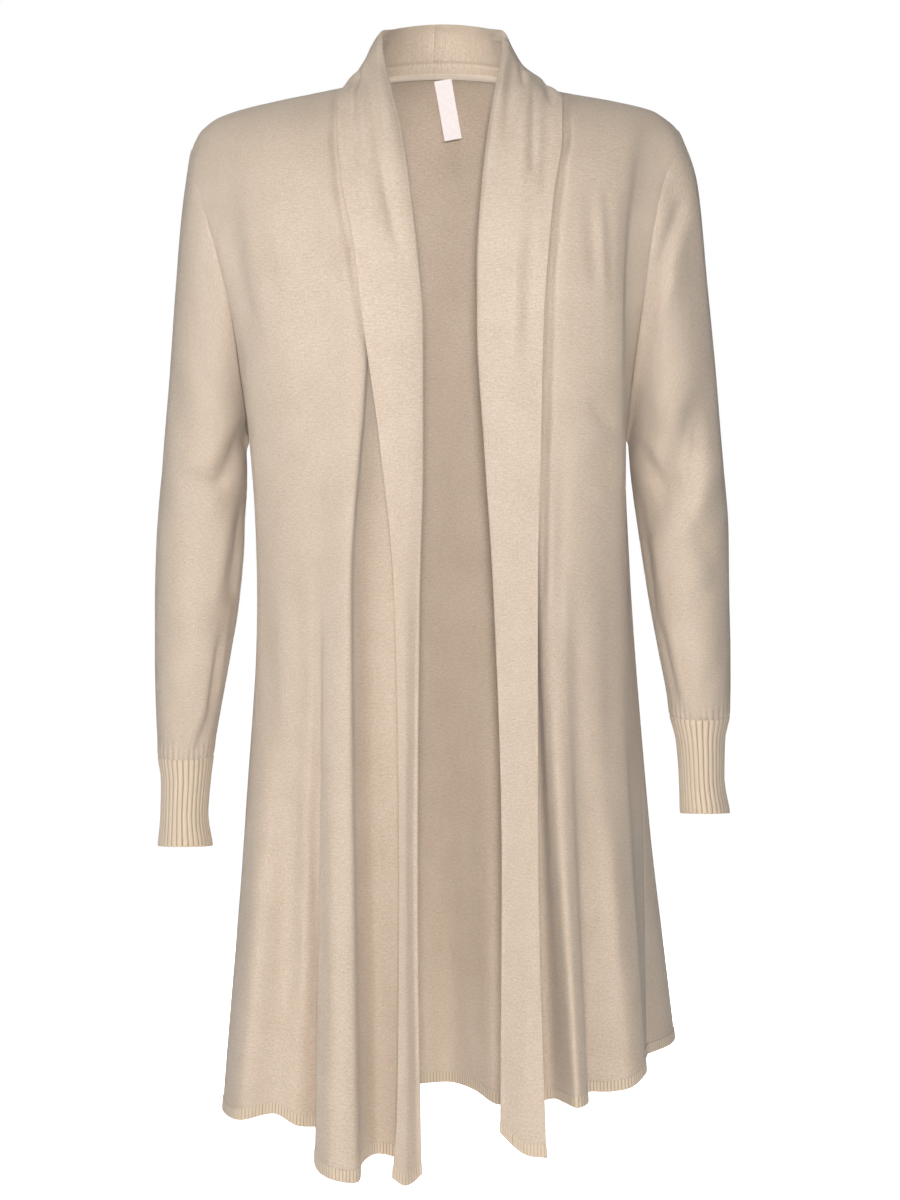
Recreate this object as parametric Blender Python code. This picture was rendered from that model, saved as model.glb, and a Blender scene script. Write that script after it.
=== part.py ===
"""Open-front knitted cardigan, held in the shape it has when it is worn.

Metres, +Z up, the wearer faces -Y. The origin is at the neck, on the shoulder line, where the wearer
carries the garment. Right and left are the wearer's, so right pieces have negative X.
Tables are in millimetres; every panel is a thin wall round a surface that is worked out from them.
"""

import math

import bpy
import numpy as np

MM = 0.001
TINY = 1e-6

CLOTH = 1.5           # wall of the fine knit
SEAM_GAP = 0.3        # between two pieces that are sewn together
HEM_DEPTH = 10.0      # ribbed hem, at the bottom of every panel
HEM_RAISE = 0.35      # the rib stands proud of the plain knit
CUFF_RIBS = 36
RIB_RAISE = 0.9
CUFF_FOOT_RISE = 4.5  # the cuff's foot is higher in front, as the arm hangs a little forward
PARTS_FROM, PARTS_OVER = 0.3, 0.6    # of a full turn back, where two walls begin to part by their own wall

BUST_Z = -190.0
WAIST_Z = -420.0
UNDERARM_V = 1.46     # where the armhole ends, between bust (1) and waist (2)
BODY_PARTS = (9, 4, 4, 7)            # rows from shoulder to bust, underarm, waist and hem
ARMHOLE_ROWS = BODY_PARTS[0] + BODY_PARTS[1]
SLEEVE_PARTS = (7, 8)
WAIST_TO_HEM = 470.0
PANEL_RUN = (0.0, 230.0, 460.0, 930.0)   # along a panel, from the shoulder to bust, waist and hem
TOP_EASES = 0.3       # v over which a panel's own top row eases into its lines

NECK_X, NECK_Y = 4.0, 5.0             # middle of the neck opening
NECK_SEAM_HALF = (66.0, 60.0, 12.0, 6.0)    # half width, depth, height at the back, drop to the side
COLLAR_TOP_HALF = (50.0, 55.0, 57.0, 7.5)
SHOULDER_TIP_OUT, SHOULDER_TIP_Y = 205.0, 2.0    # the shoulder seam's end, out from the neck's middle

# The shoulder seam, from the neck out to the sleeve: x, z.
SHOULDER_RIGHT = ((-62, 6), (-84, 1), (-108, -4), (-133, -9), (-182, -22), (-200, -34), (-209, -50))
SHOULDER_LEFT = ((70, 6), (104, -2), (149, -10), (182, -18), (195, -26), (204, -34))

# Armhole seams, from the shoulder down to the underarm: x, y, z.
ARMHOLES = {
    "front_right": ((-209, 2, -50), (-205, -22, -69), (-197, -38, -96), (-185, -50, -135),
                    (-174, -52, -180), (-166, -34, -243), (-161, 2, -296)),
    "back_right": ((-209, 2, -50), (-206, 26, -72), (-199, 44, -104), (-189, 54, -145),
                   (-178, 54, -190), (-168, 36, -247), (-161, 2, -296)),
    "front_left": ((204, 2, -34), (202, -20, -50), (190, -36, -75), (181, -49, -112),
                   (173, -51, -170), (165, -34, -235), (160, 2, -296)),
    "back_left": ((204, 2, -34), (203, 26, -55), (194, 44, -88), (185, 54, -130),
                  (176, 54, -180), (167, 36, -240), (160, 2, -296)),
}

# Side seams below the underarm: x, y, z.
SIDE_RIGHT = ((-161, 2, -296), (-156, 6, -350), (-155, 8, -420), (-167, 10, -620), (-187, 10, -877))
SIDE_LEFT = ((160, 2, -296), (159, 6, -350), (163, 8, -420), (178, 12, -620), (183, 16, -838))

# Lines down the fronts, one for each crest, valley and edge, from the side to the middle.
# The side seam itself comes from the armhole and side tables. Columns:
# name, x at the shoulder, x and y at the bust, x and y at the waist, x, y and z at the hem.
FRONT_RIGHT = (
    ("flank", -196, -161, -70, -151, -40, -185, -34, -876),
    ("outer_crest", -176, -147, -86, -134, -70, -168, -72, -873),
    ("soft_valley", -156, -130, -96, -115, -84, -140, -66, -869),
    ("step_crest", -140, -114, -101, -105, -90, -121, -71, -878),
    ("deep_valley", -126, -99, -104, -98, -91, -99, -62, -884),
    ("roll_fold_side", -114, -87, -106, -93, -95, -104, -94, -905),
    ("roll_fold_front", -103, -76, -107, -85, -101, -89, -124, -910),
    ("roll_fold_edge", -91, -59, -107, -73, -104, -68.5, -122, -913),
    ("recess_side", -84, -56, -102, -70, -91, -65, -96, -904),
    ("recess_back", -77, -47, -97, -56, -78, -52, -74, -902),
    ("recess_inner", -70, -34, -98, -36, -80, -34, -80, -904),
    ("band_seam", -62, -24, -102, -22, -94, -21, -104, -906),
)
FRONT_LEFT = (
    ("flank", 186, 156, -68, 159, -36, 178, -20, -838),
    ("side_crest", 170, 152, -82, 152, -62, 177, -60, -836),
    ("panel_outer", 153, 140, -92, 140, -77, 164, -78, -843),
    ("panel_inner", 138, 128, -98, 127, -87, 147, -80, -846),
    ("deep_valley", 125, 115, -103, 114, -94, 127, -78, -847),
    ("fold_crest_side", 113, 104, -106, 105, -99, 126, -103, -850),
    ("fold_crest_front", 103, 93, -107, 95, -102, 118, -114, -851),
    ("fold_crest_edge", 94, 82, -107, 86, -99, 109, -99, -851),
    ("recess_back", 86, 71, -103, 80, -83, 98, -77, -853),
    ("recess_inner", 78, 59, -101, 70, -83, 82, -78, -857),
    ("band_seam", 70, 48, -102, 60, -93, 66, -98, -864),
)

# Lines down the back, from the wearer's right side to the left. Those that start at the neck seam have
# their turns round the neck, in degrees, in a table of their own.
BACK = (
    ("flank_right", -196, -165, 70, -151, 48, -184, 58, -881),
    ("corner_right", -166, -142, 89, -130, 76, -160, 100, -889),
    ("valley_right", -130, -110, 98, -100, 90, -113, 103, -890),
    ("crest_right", -96, -78, 103, -68, 96, -70, 130, -893),
    ("neck_right", "neck", -50, 105, -38, 96, -30, 114, -892),
    ("neck_right_mid", "neck", -28, 106, -20, 95, -10, 121, -892),
    ("middle", "neck", -2, 106, 0, 95, 12, 124, -892),
    ("neck_left_mid", "neck", 24, 106, 22, 94, 33, 104, -894),
    ("neck_left", "neck", 56, 105, 46, 93, 54, 84, -902),
    ("crest_left", 102, 84, 103, 74, 96, 92, 128, -899),
    ("valley_left", 132, 114, 98, 104, 90, 133, 108, -878),
    ("corner_left", 158, 142, 89, 134, 76, 178, 122, -855),
    ("hip_crest_left", 178, 152, 76, 158, 52, 209, 92, -840),
    ("flank_left", 188, 157, 62, 166, 32, 206, 52, -838),
)
NECK_TURNS = (-90.0, -50.0, -8.7, 50.0, 90.0)
BACK_SEAM_TURN = NECK_TURNS[2]        # the seam that joins the two collar halves

# The shawl band from the side of the neck to the hem, a row for each section. v counts as on the front
# panel: 0 shoulder, 1 bust, 2 waist, 3 hem, and below 0 back round the neck. Columns:
# v, x, y and z of the roll, x, y and z of the free edge, how far the face swells, and folded, which is
# 0 where the band stands and 1 where it is turned over.
BAND_RIGHT = (
    (-0.20, -44.5, 21, 42, -46.5, 22, 50.5, 0.5, 0.15),
    (0.00, -47, 8, 44, -55.5, 11, 37.5, 0.5, 0.85),
    (0.10, -47, -5, 36, -62.5, 4, 23, 0.5, 1.0),
    (0.22, -43.5, -22, 19, -77, -13, 5, 0.5, 1.0),
    (0.35, -38, -46, -3, -83.5, -39, -8, 2.0, 1.0),
    (0.50, -30, -69, -34, -82.5, -67, -36, 4.0, 1.0),
    (0.66, -23, -91, -80, -78.5, -91, -76, 3.5, 1.0),
    (0.82, -17, -104, -131, -69, -106, -124, 3.0, 1.0),
    (1.00, -12, -111, -190, -61, -114, -190, 2.5, 1.0),
    (1.46, -12, -109, -296, -47, -113, -296, 2.0, 1.0),
    (2.00, -15, -105, -420, -36, -111, -420, 2.0, 1.0),
    (2.50, -17, -114, -655, -32, -122, -655, 2.5, 1.0),
    (2.88, -15, -124, -848, -34, -134, -848, 3.0, 1.0),
    (3.00, -14, -127, -905, -38, -138, -905, 3.0, 1.0),
)
BAND_LEFT = (
    (-0.20, 52.5, 21, 42, 54.5, 22, 50.5, 0.5, 0.15),
    (0.00, 55, 8, 42, 63.5, 11, 34, 1.0, 0.9),
    (0.10, 55, -5, 33, 72, 4, 20, 0.5, 1.0),
    (0.22, 52, -22, 18, 92, -13, 5, 0.5, 1.0),
    (0.35, 47, -46, -6, 103.5, -39, -9, 2.0, 1.0),
    (0.50, 41, -69, -43, 103, -67, -40, 4.0, 1.0),
    (0.66, 36, -91, -90, 96, -91, -84, 3.5, 1.0),
    (0.82, 33, -104, -140, 91, -106, -131, 3.0, 1.0),
    (1.00, 33, -111, -190, 87, -114, -190, 2.5, 1.0),
    (1.46, 39, -109, -296, 85, -113, -296, 2.0, 1.0),
    (2.00, 47, -105, -420, 83, -111, -420, 2.0, 1.0),
    (2.50, 54, -113, -645, 84, -122, -645, 2.5, 1.0),
    (3.00, 53, -120, -871, 91, -137, -888, 3.0, 1.0),
)
STANDS_BEHIND = -0.4   # v up to which the band stands plainly round the neck
STAND_SHARE = 0.8      # of the collar's height at the back, below the line where it would turn over
ROLL_RADIUS = 2.6      # of the soft roll at the opening's edge
FOOT_DROP = 7.0        # how far the middle of the face hangs below the straight line, at the hem
FOOT_FROM = 2.6        # v from which the foot rounds off
ROLL_STEP = 0.02       # of v, over which the roll's own way is taken
SWELL_UP = 0.45        # share of the swell that also lifts the face, near the shoulder
SWELL_UNDER = 0.2      # share of the swell that the hidden layer follows

# Pleats that take up the width of the band at the shoulder: place across from roll (0) to free edge (1),
# width, depth, and the v where it starts and ends.
PLEATS_RIGHT = ((0.45, 0.11, 2.4, 0.14, 0.80), (0.78, 0.09, 1.2, 0.16, 0.55))
PLEATS_LEFT = ((0.34, 0.10, 2.0, 0.14, 0.75), (0.68, 0.10, 2.0, 0.16, 0.70))
PLEAT_SETS_IN = 0.12   # of v, over which a pleat comes up
PLEAT_FADES = 0.6      # share of its length over which it dies away
VALLEY_AT, VALLEY_SHARE = 1.7, 0.5    # the valley beside it: how far off, in widths, and how deep

# Sleeves, a row for each ring from the armhole to the cuff seam, then cuffs down to the hand. Columns:
# x and z of the outer edge, x and z of the inner edge, y of the middle, half of the depth.
SLEEVE_RIGHT = (
    (-209, -50, -161, -296, 1, 53),
    (-217, -105, -163, -303, 1, 56),
    (-223, -170, -164, -313, 2, 57),
    (-229, -245, -164, -328, 4, 56),
    (-235, -310, -165, -350, 6, 54),
    (-241, -375, -167, -388, 6, 52),
    (-243, -439, -172, -439, 2, 49),
    (-243, -482, -179, -482, -4, 45),
    (-242, -526, -187, -526, -10, 39),
    (-240, -566, -194, -566, -15, 33),
)
SLEEVE_LEFT = (
    (204, -34, 160, -296, 1, 53),
    (219, -76, 163, -301, 1, 56),
    (229, -165, 164, -310, 2, 57),
    (237, -240, 165, -322, 4, 56),
    (243, -308, 168, -345, 6, 54),
    (249, -375, 174, -385, 6, 52),
    (250, -435, 182, -435, 2, 48),
    (251, -478, 190, -478, -4, 44),
    (251, -508, 196, -508, -8, 40),
    (250, -532, 200, -532, -11, 35),
)
CUFF_RIGHT = (
    (-240, -566, -194, -566, -15, 33),
    (-237, -590, -197, -590, -18, 29),
    (-237.5, -617, -199, -617, -20, 28),
    (-240, -644, -195, -644, -23, 31),
)
CUFF_LEFT = (
    (250, -532, 200, -532, -11, 35),
    (245.5, -555, 206, -555, -14, 30),
    (245, -585, 208.5, -585, -17, 28),
    (250, -616, 209.5, -616, -20, 30),
)

# Soft creases in the sleeves: where along (0 armhole, 1 cuff), where round (degrees, 0 outer edge,
# 90 front, 180 inner edge), slant in degrees per length, width in degrees and in length, depth.
CREASES_RIGHT = (
    (0.50, 95, 0, 75, 0.045, 3.0),
    (0.30, 140, -260, 16, 0.16, 3.5),
    (0.62, 150, -60, 14, 0.20, 2.5),
)
CREASES_LEFT = (
    (0.28, 125, -260, 17, 0.14, 4.0),
    (0.47, 100, -330, 17, 0.12, 4.0),
    (0.60, 150, -60, 14, 0.20, 2.0),
)

LABEL_SIZE = (15.0, 52.0, 1.0)
LABEL_TOP = (4.0, 62.2, 9.6)
LABEL_TILT = 10.0     # degrees, seen from the front
LABEL_LEAN = 6.0      # degrees, its foot hangs back towards the cloth
LABEL_CURL = 1.2

KNIT = ("knit", (0.74, 0.63, 0.50, 1), 0.85)
RIB = ("rib", (0.72, 0.60, 0.47, 1), 0.88)
LABEL = ("label", (0.86, 0.82, 0.82, 1), 0.55)


def clear_scene():
    for obj in list(bpy.data.objects):
        bpy.data.objects.remove(obj)


def unit(way):
    return way / np.linalg.norm(way, axis=-1, keepdims=True)


def square_to(way, line):
    """The part of a way that is square to a line."""
    line = unit(line)
    return way - line * (way @ line)


def smooth_step(t):
    t = np.clip(t, 0.0, 1.0)
    return t * t * (3 - 2 * t)


def flowing(knots, values, at):
    """Values at the places asked for, on a curve through the knots that never overshoots them."""
    x = np.asarray(knots, float)
    y = np.asarray(values, float)
    if y.ndim == 1:
        y = y[:, None]
        return flowing(x, y, at)[:, 0]
    step = np.diff(x)[:, None]
    slope = np.diff(y, axis=0) / step
    tangent = np.zeros_like(y)
    same_way = slope[:-1] * slope[1:] > 0
    blend = 2 * slope[:-1] * slope[1:] / np.where(same_way, slope[:-1] + slope[1:], 1.0)
    tangent[1:-1] = np.where(same_way, blend, 0.0)
    tangent[0], tangent[-1] = slope[0], slope[-1]
    at = np.atleast_1d(np.asarray(at, float))
    i = np.clip(np.searchsorted(x, at, side="right") - 1, 0, len(x) - 2)
    h = step[i]
    t = (at[:, None] - x[i][:, None]) / h
    return ((2 * t**3 - 3 * t**2 + 1) * y[i] + (t**3 - 2 * t**2 + t) * h * tangent[i]
            + (3 * t**2 - 2 * t**3) * y[i + 1] + (t**3 - t**2) * h * tangent[i + 1])


def round_curve(points, at):
    """A round curve through points, read at fractions of the point number."""
    p = np.asarray(points, float)
    p = np.vstack([2 * p[0] - p[1], p, 2 * p[-1] - p[-2]])
    at = np.atleast_1d(np.asarray(at, float))
    i = np.clip(np.floor(at).astype(int), 0, len(p) - 4)
    t = (at - i)[:, None]
    p0, p1, p2, p3 = p[i], p[i + 1], p[i + 2], p[i + 3]
    gap = [np.sqrt(np.linalg.norm(b - a, axis=1))[:, None] + TINY for a, b in ((p0, p1), (p1, p2), (p2, p3))]
    m1 = (p1 - p0) / gap[0] - (p2 - p0) / (gap[0] + gap[1]) + (p2 - p1) / gap[1]
    m2 = (p2 - p1) / gap[1] - (p3 - p1) / (gap[1] + gap[2]) + (p3 - p2) / gap[2]
    m1, m2 = m1 * gap[1], m2 * gap[1]
    return ((2 * t**3 - 3 * t**2 + 1) * p1 + (t**3 - 2 * t**2 + t) * m1
            + (3 * t**2 - 2 * t**3) * p2 + (t**3 - t**2) * m2)


def along_curve(points, shares):
    """Points at shares of the length of a round curve through the table's points."""
    fine = round_curve(points, np.linspace(0, len(points) - 1, 40 * len(points)))
    run = np.concatenate([[0.0], np.cumsum(np.linalg.norm(np.diff(fine, axis=0), axis=1))])
    shares = np.atleast_1d(shares) * run[-1]
    return np.stack([np.interp(shares, run, fine[:, k]) for k in range(3)], axis=1)


def side_line(v, armhole, side_seam):
    """The outer edge of a panel: down the armhole, then down the side seam."""
    hole = np.asarray(armhole, float)
    fine = along_curve(hole, np.linspace(0, 1, 200))
    at_bust = np.interp(-BUST_Z, -fine[:, 2], np.linspace(0, 1, 200))
    share = flowing((0, 1, UNDERARM_V), (0, at_bust, 1), np.clip(v, 0, UNDERARM_V))
    on_hole = along_curve(hole, share)
    seam = np.asarray(side_seam, float)
    waist_share = (WAIST_Z - seam[0, 2]) / (seam[-1, 2] - seam[0, 2])
    share = flowing((UNDERARM_V, 2, 3), (0, waist_share, 1), np.clip(v, UNDERARM_V, 3))
    z = seam[0, 2] + share * (seam[-1, 2] - seam[0, 2])
    on_side = np.stack([*flowing(-seam[:, 2], seam[:, :2], -z).T, z], axis=1)
    return np.where((v < UNDERARM_V)[:, None], on_hole, on_side)


def on_shoulder(shoulder, x):
    """Points of the shoulder seam above each x."""
    table = sorted(shoulder)
    z = flowing([row[0] for row in table], [row[1] for row in table], x)
    y = np.interp(np.abs(x - NECK_X), (NECK_SEAM_HALF[0], SHOULDER_TIP_OUT), (NECK_Y, SHOULDER_TIP_Y))
    return np.stack([x, y, z], axis=1)


def neck_ring(ring, turn):
    """A point on a ring round the neck. turn is 0 at the back and 90 at the wearer's left side."""
    half_width, depth, height, drop = ring
    side, back = math.sin(math.radians(turn)), math.cos(math.radians(turn))
    return np.array([NECK_X + half_width * side, NECK_Y + depth * back, height - drop * side**2])


def down_line(v, line, top):
    """A line of a panel: over the shoulder in a quarter round, then down through waist to hem."""
    _, _, bust_x, bust_y, waist_x, waist_y, hem_x, hem_y, hem_z = line
    run = np.interp(v, (0, 1, 2, 3), PANEL_RUN)
    x = flowing(PANEL_RUN, (top[0], bust_x, waist_x, hem_x), run)
    turn = np.clip(v, 0, 1) * math.pi / 2
    y_top = top[1] + (bust_y - top[1]) * np.sin(turn)
    z_top = top[2] + (BUST_Z - top[2]) * (1 - np.cos(turn))
    lower = np.maximum(v, 1)
    level = (0.9, 1, 2, 3)
    y_low = flowing(level, (bust_y, bust_y, waist_y, hem_y), lower)
    z_low = np.interp(lower, (1, 2, 3), (BUST_Z, WAIST_Z, hem_z))
    upper = v < 1
    return np.stack([x, np.where(upper, y_top, y_low), np.where(upper, z_top, z_low)], axis=1)


class Panel:
    """A surface across lines. Its side edges come from the seam tables, and u counts the lines. neck is
    the line at which the neck seam starts, where it has one."""

    def __init__(self, lines, shoulders, sides, neck=None):
        self.lines, self.shoulders, self.sides, self.neck = lines, shoulders, sides, neck
        self.outward = -1.0 if neck is None else 1.0
        self.count = len(lines) + len(sides)
        turns = iter(NECK_TURNS)
        self.top_x = [neck_ring(NECK_SEAM_HALF, next(turns))[0] if line[1] == "neck" else float(line[1])
                      for line in lines]
        for at_start, armhole, _ in sides:
            self.top_x.insert(0 if at_start else len(self.top_x), armhole[0][0])
        self.tops = self.top_row(np.arange(self.count))

    def top_row(self, u):
        """The upper edge: along the shoulder seams, and round the neck seam between them."""
        x = np.interp(u, np.arange(self.count), self.top_x)
        found = np.where((x < 0)[:, None], on_shoulder(self.shoulders[0], x), on_shoulder(self.shoulders[-1], x))
        if self.neck is not None:
            last = self.neck + len(NECK_TURNS) - 1
            turns = np.interp(u, np.arange(self.neck, last + 1), NECK_TURNS)
            for k in np.flatnonzero((u >= self.neck) & (u <= last)):
                found[k] = neck_ring(NECK_SEAM_HALF, turns[k])
        return found

    def rails(self, v):
        start = len(self.sides) and self.sides[0][0]
        rails = [down_line(v, line, self.tops[k + (1 if start else 0)]) for k, line in enumerate(self.lines)]
        for at_start, armhole, side_seam in self.sides:
            rails.insert(0 if at_start else len(rails), side_line(v, armhole, side_seam))
        return np.stack(rails, axis=1)

    def point(self, u, v):
        u, v = np.atleast_1d(u), np.atleast_1d(v)
        found = np.stack([round_curve(row, u) for row in self.rails(v)])
        off = self.top_row(u) - round_curve(self.tops, u)
        return found + off[None, :, :] * (1 - smooth_step(v / TOP_EASES))[:, None, None]


class Band:
    """The shawl band of one side: a standing collar at the back that turns over at the shoulder and
    runs down the front. v is -1 at the back seam, 0 at the shoulder, then as on the front panel.
    u is 0 at the seam to the panels, 3 at the roll and 6 at the free edge."""

    def __init__(self, panel, seam_u, rows, pleats, side):
        self.panel, self.seam_u, self.pleats, self.outward = panel, seam_u, pleats, side
        self.side_turn = side * 90.0
        standing = self.standing(STANDS_BEHIND)
        first = (STANDS_BEHIND, *standing[1], *standing[2], 0.0, 0.0)
        self.rows = np.array([first, *rows])

    def back_turn(self, v):
        return BACK_SEAM_TURN + (self.side_turn - BACK_SEAM_TURN) * (v + 1)

    def v_at_turn(self, turn):
        return (turn - BACK_SEAM_TURN) / (self.side_turn - BACK_SEAM_TURN) - 1

    def standing(self, v):
        seam = neck_ring(NECK_SEAM_HALF, self.back_turn(v))
        edge = neck_ring(COLLAR_TOP_HALF, self.back_turn(v))
        return seam, seam + (edge - seam) * STAND_SHARE, edge

    def table_section(self, v):
        if v < STANDS_BEHIND:
            return *self.standing(v), 0.0, 0.0
        seam = neck_ring(NECK_SEAM_HALF, self.back_turn(v)) if v < 0 else self.panel.point(self.seam_u, v)[0, 0]
        row = flowing(self.rows[:, 0], self.rows[:, 1:], v)[0]
        return seam, row[0:3], row[3:6], row[6], row[7]

    def section(self, v):
        seam, roll, edge, bulge, folded = self.table_section(v)
        roll_line = self.table_section(v + ROLL_STEP)[1] - self.table_section(v - ROLL_STEP)[1]
        back_way, face_way = (unit(square_to(way, roll_line)) for way in (seam - roll, edge - roll))
        away = np.array([roll[0] - NECK_X, roll[1] - NECK_Y, 0.0])
        turned_in = unit(back_way + face_way + TINY) * folded + unit(away) * (1 - folded)
        inwards = unit(square_to(turned_in, roll_line))
        over = unit(np.cross(roll_line, inwards)) * self.outward
        turned = np.array([inwards - over, inwards + over]) * ROLL_RADIUS
        plain = np.array([back_way, face_way]) * ROLL_RADIUS
        behind, before = roll + turned * folded + plain * (1 - folded)
        lift = np.array([0.0, -1.0, SWELL_UP * np.clip(1 - v, 0, 1)]) * bulge
        drop = np.array([0.0, 0.0, -FOOT_DROP]) * smooth_step((v - FOOT_FROM) / (3 - FOOT_FROM))
        face = (before + edge) / 2 + lift + drop
        under = (seam + behind) / 2 + lift * SWELL_UNDER
        return np.stack([seam, under, behind, roll, before + drop / 2, face, edge])

    def point(self, u, v):
        u, v = np.atleast_1d(u), np.atleast_1d(v)
        flat = np.stack([round_curve(self.section(one), u) for one in v])
        across = (u - 3) / 3
        for place, width, depth, starts, ends in self.pleats:
            fade_out = smooth_step((ends - v) / (PLEAT_FADES * (ends - starts)))
            fade = smooth_step((v - starts) / PLEAT_SETS_IN) * fade_out
            crest = np.exp(-((across - place) / width) ** 2)
            valley = np.exp(-((across - place - VALLEY_AT * width) / width) ** 2)
            push = depth * fade[:, None] * (crest - VALLEY_SHARE * valley)[None, :]
            turn = np.clip(v, 0, 1) * math.pi / 2
            way = np.stack([np.zeros_like(v), -np.sin(turn), np.cos(turn)], axis=1)
            flat = flat + push[:, :, None] * way[:, None, :]
        return flat


class Tube:
    """A sleeve or cuff: rings that turn from the armhole to level ones. v counts the rows."""

    def __init__(self, rows, armhole=None, creases=(), turned_rows=4.0, foot_rise=0.0):
        self.rows = np.asarray(rows, float)
        self.armhole, self.creases, self.turned_rows = armhole, creases, turned_rows
        self.foot_rise = foot_rise
        self.outward = 1.0
        if armhole is not None:
            self.local = self.to_local(armhole)

    def frame(self, v):
        outer_x, outer_z, inner_x, inner_z, middle_y, depth = flowing(
            np.arange(len(self.rows)), self.rows, v)[0]
        outer = np.array([outer_x, middle_y, outer_z])
        inner = np.array([inner_x, middle_y, inner_z])
        axis = outer - inner
        half = np.linalg.norm(axis) / 2
        axis = axis / (2 * half)
        return (outer + inner) / 2, axis, np.cross(axis, (0, 1, 0)), half, depth

    def to_local(self, ring):
        centre, axis, through, half, depth = self.frame(0.0)
        off = np.asarray(ring) - centre
        return np.stack([off @ axis / half, off[:, 1] / depth, off @ through], axis=1)

    def ring(self, v, angles):
        centre, axis, through, half, depth = self.frame(v)
        local = np.stack([np.cos(angles), -np.sin(angles), np.zeros_like(angles)], axis=1)
        if self.armhole is not None:
            share = 1 - smooth_step(v / self.turned_rows)
            steps = np.concatenate([self.local, self.local[:1]])
            at = (angles / (2 * math.pi)) * len(self.local)
            own = np.stack([np.interp(at, np.arange(len(steps)), steps[:, k]) for k in range(3)], axis=1)
            local = local + (own - local) * share
        found = centre + np.outer(local[:, 0] * half, axis) + np.outer(local[:, 2], through)
        found[:, 1] += local[:, 1] * depth
        found[:, 2] += self.foot_rise * np.sin(angles) * v / (len(self.rows) - 1)
        way = np.outer(np.cos(angles), axis) + np.outer(-np.sin(angles), (0, 1, 0))
        return found - way * self.crease_depth(v, angles)[:, None]

    def crease_depth(self, v, angles):
        along = v / (len(self.rows) - 1)
        degrees = np.degrees(angles)
        total = np.zeros_like(angles)
        for place, turn, slant, width_round, width_along, depth in self.creases:
            off = degrees - turn - slant * (along - place)
            total += depth * np.exp(-(off / width_round) ** 2 - ((along - place) / width_along) ** 2)
        return total

    def point(self, angles, v):
        return np.stack([self.ring(one, np.asarray(angles)) for one in np.atleast_1d(v)])


class Wall:
    """The middle surface of a piece as a grid of points, with the way that its outer face looks."""

    def __init__(self, surface, u, v, closed=False, small=0.01):
        u, v = np.asarray(u, float), np.asarray(v, float)
        self.points = surface.point(u, v)
        low_u, high_u = u - small, u + small
        if closed:
            low_u, high_u = low_u % (2 * math.pi), high_u % (2 * math.pi)
        else:
            low_u, high_u = np.maximum(low_u, u[0]), np.minimum(high_u, u[-1])
        low_v, high_v = np.maximum(v - small, v[0]), np.minimum(v + small, v[-1])
        along_u = surface.point(high_u, v) - surface.point(low_u, v)
        along_v = surface.point(u, high_v) - surface.point(u, low_v)
        self.way = surface.outward * unit(np.cross(along_u, along_v))

    def inwards(self, edge, beside):
        return unit(self.points[beside] - self.points[edge])

    def draw_in(self, edge, beside):
        """Moves an edge in by half a seam gap."""
        self.points[edge] += SEAM_GAP / 2 * self.inwards(edge, beside)


def mitre(along, into_a, into_b, outward):
    """How two walls part at a seam: the step from a to b, and the shared way of their edges."""
    along = unit(along)
    into_a = unit(into_a - along * np.sum(into_a * along, axis=1, keepdims=True))
    into_b = unit(into_b - along * np.sum(into_b * along, axis=1, keepdims=True))
    across = unit(into_b - into_a)
    way = unit(np.cross(across, along))
    way *= np.sign(np.sum(way * outward, axis=1, keepdims=True))
    turned = 1 - np.linalg.norm(into_b - into_a, axis=1, keepdims=True) / 2
    step = across * (SEAM_GAP / 2 + CLOTH / 2 * smooth_step((turned - PARTS_FROM) / PARTS_OVER))
    return step, way


def sew(a, edge_a, beside_a, b, edge_b, beside_b):
    """Parts the edges of two walls whose points match along a seam."""
    along = np.gradient(a.points[edge_a], axis=0)
    step, way = mitre(along, a.inwards(edge_a, beside_a), b.inwards(edge_b, beside_b), a.way[edge_a])
    a.points[edge_a] -= step
    b.points[edge_b] += step
    a.way[edge_a] = way
    b.way[edge_b] = way


def wall_mesh(outer, inner, closed=False):
    """Points and faces of a closed wall between an outer and an inner grid of one size. The outer grid
    may have twice the columns of the inner one, as where it is ribbed."""
    rows, columns = outer.shape[:2]
    inner_columns = inner.shape[1]
    share = columns // inner_columns if closed else (columns - 1) // max(1, inner_columns - 1)
    points = np.concatenate([outer.reshape(-1, 3), inner.reshape(-1, 3)])
    first = rows * columns

    def out(i, j):
        return i * columns + j % columns

    def into(i, j):
        return first + i * inner_columns + j % inner_columns

    faces = []
    steps, inner_steps = (columns, inner_columns) if closed else (columns - 1, inner_columns - 1)
    for i in range(rows - 1):
        faces += [(out(i, j), out(i, j + 1), out(i + 1, j + 1), out(i + 1, j)) for j in range(steps)]
        faces += [(into(i, j), into(i + 1, j), into(i + 1, j + 1), into(i, j + 1)) for j in range(inner_steps)]
    for j in range(inner_steps):
        top = [out(0, k) for k in range(j * share, (j + 1) * share + 1)]
        foot = [out(rows - 1, k) for k in range(j * share, (j + 1) * share + 1)]
        faces.append((*reversed(top), into(0, j), into(0, j + 1)))
        faces.append((*foot, into(rows - 1, j + 1), into(rows - 1, j)))
    if not closed:
        for i in range(rows - 1):
            faces.append((out(i, 0), out(i + 1, 0), into(i + 1, 0), into(i, 0)))
            last, inner_last = columns - 1, inner_columns - 1
            faces.append((out(i, last), into(i, inner_last), into(i + 1, inner_last), out(i + 1, last)))
    return points, faces


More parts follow.
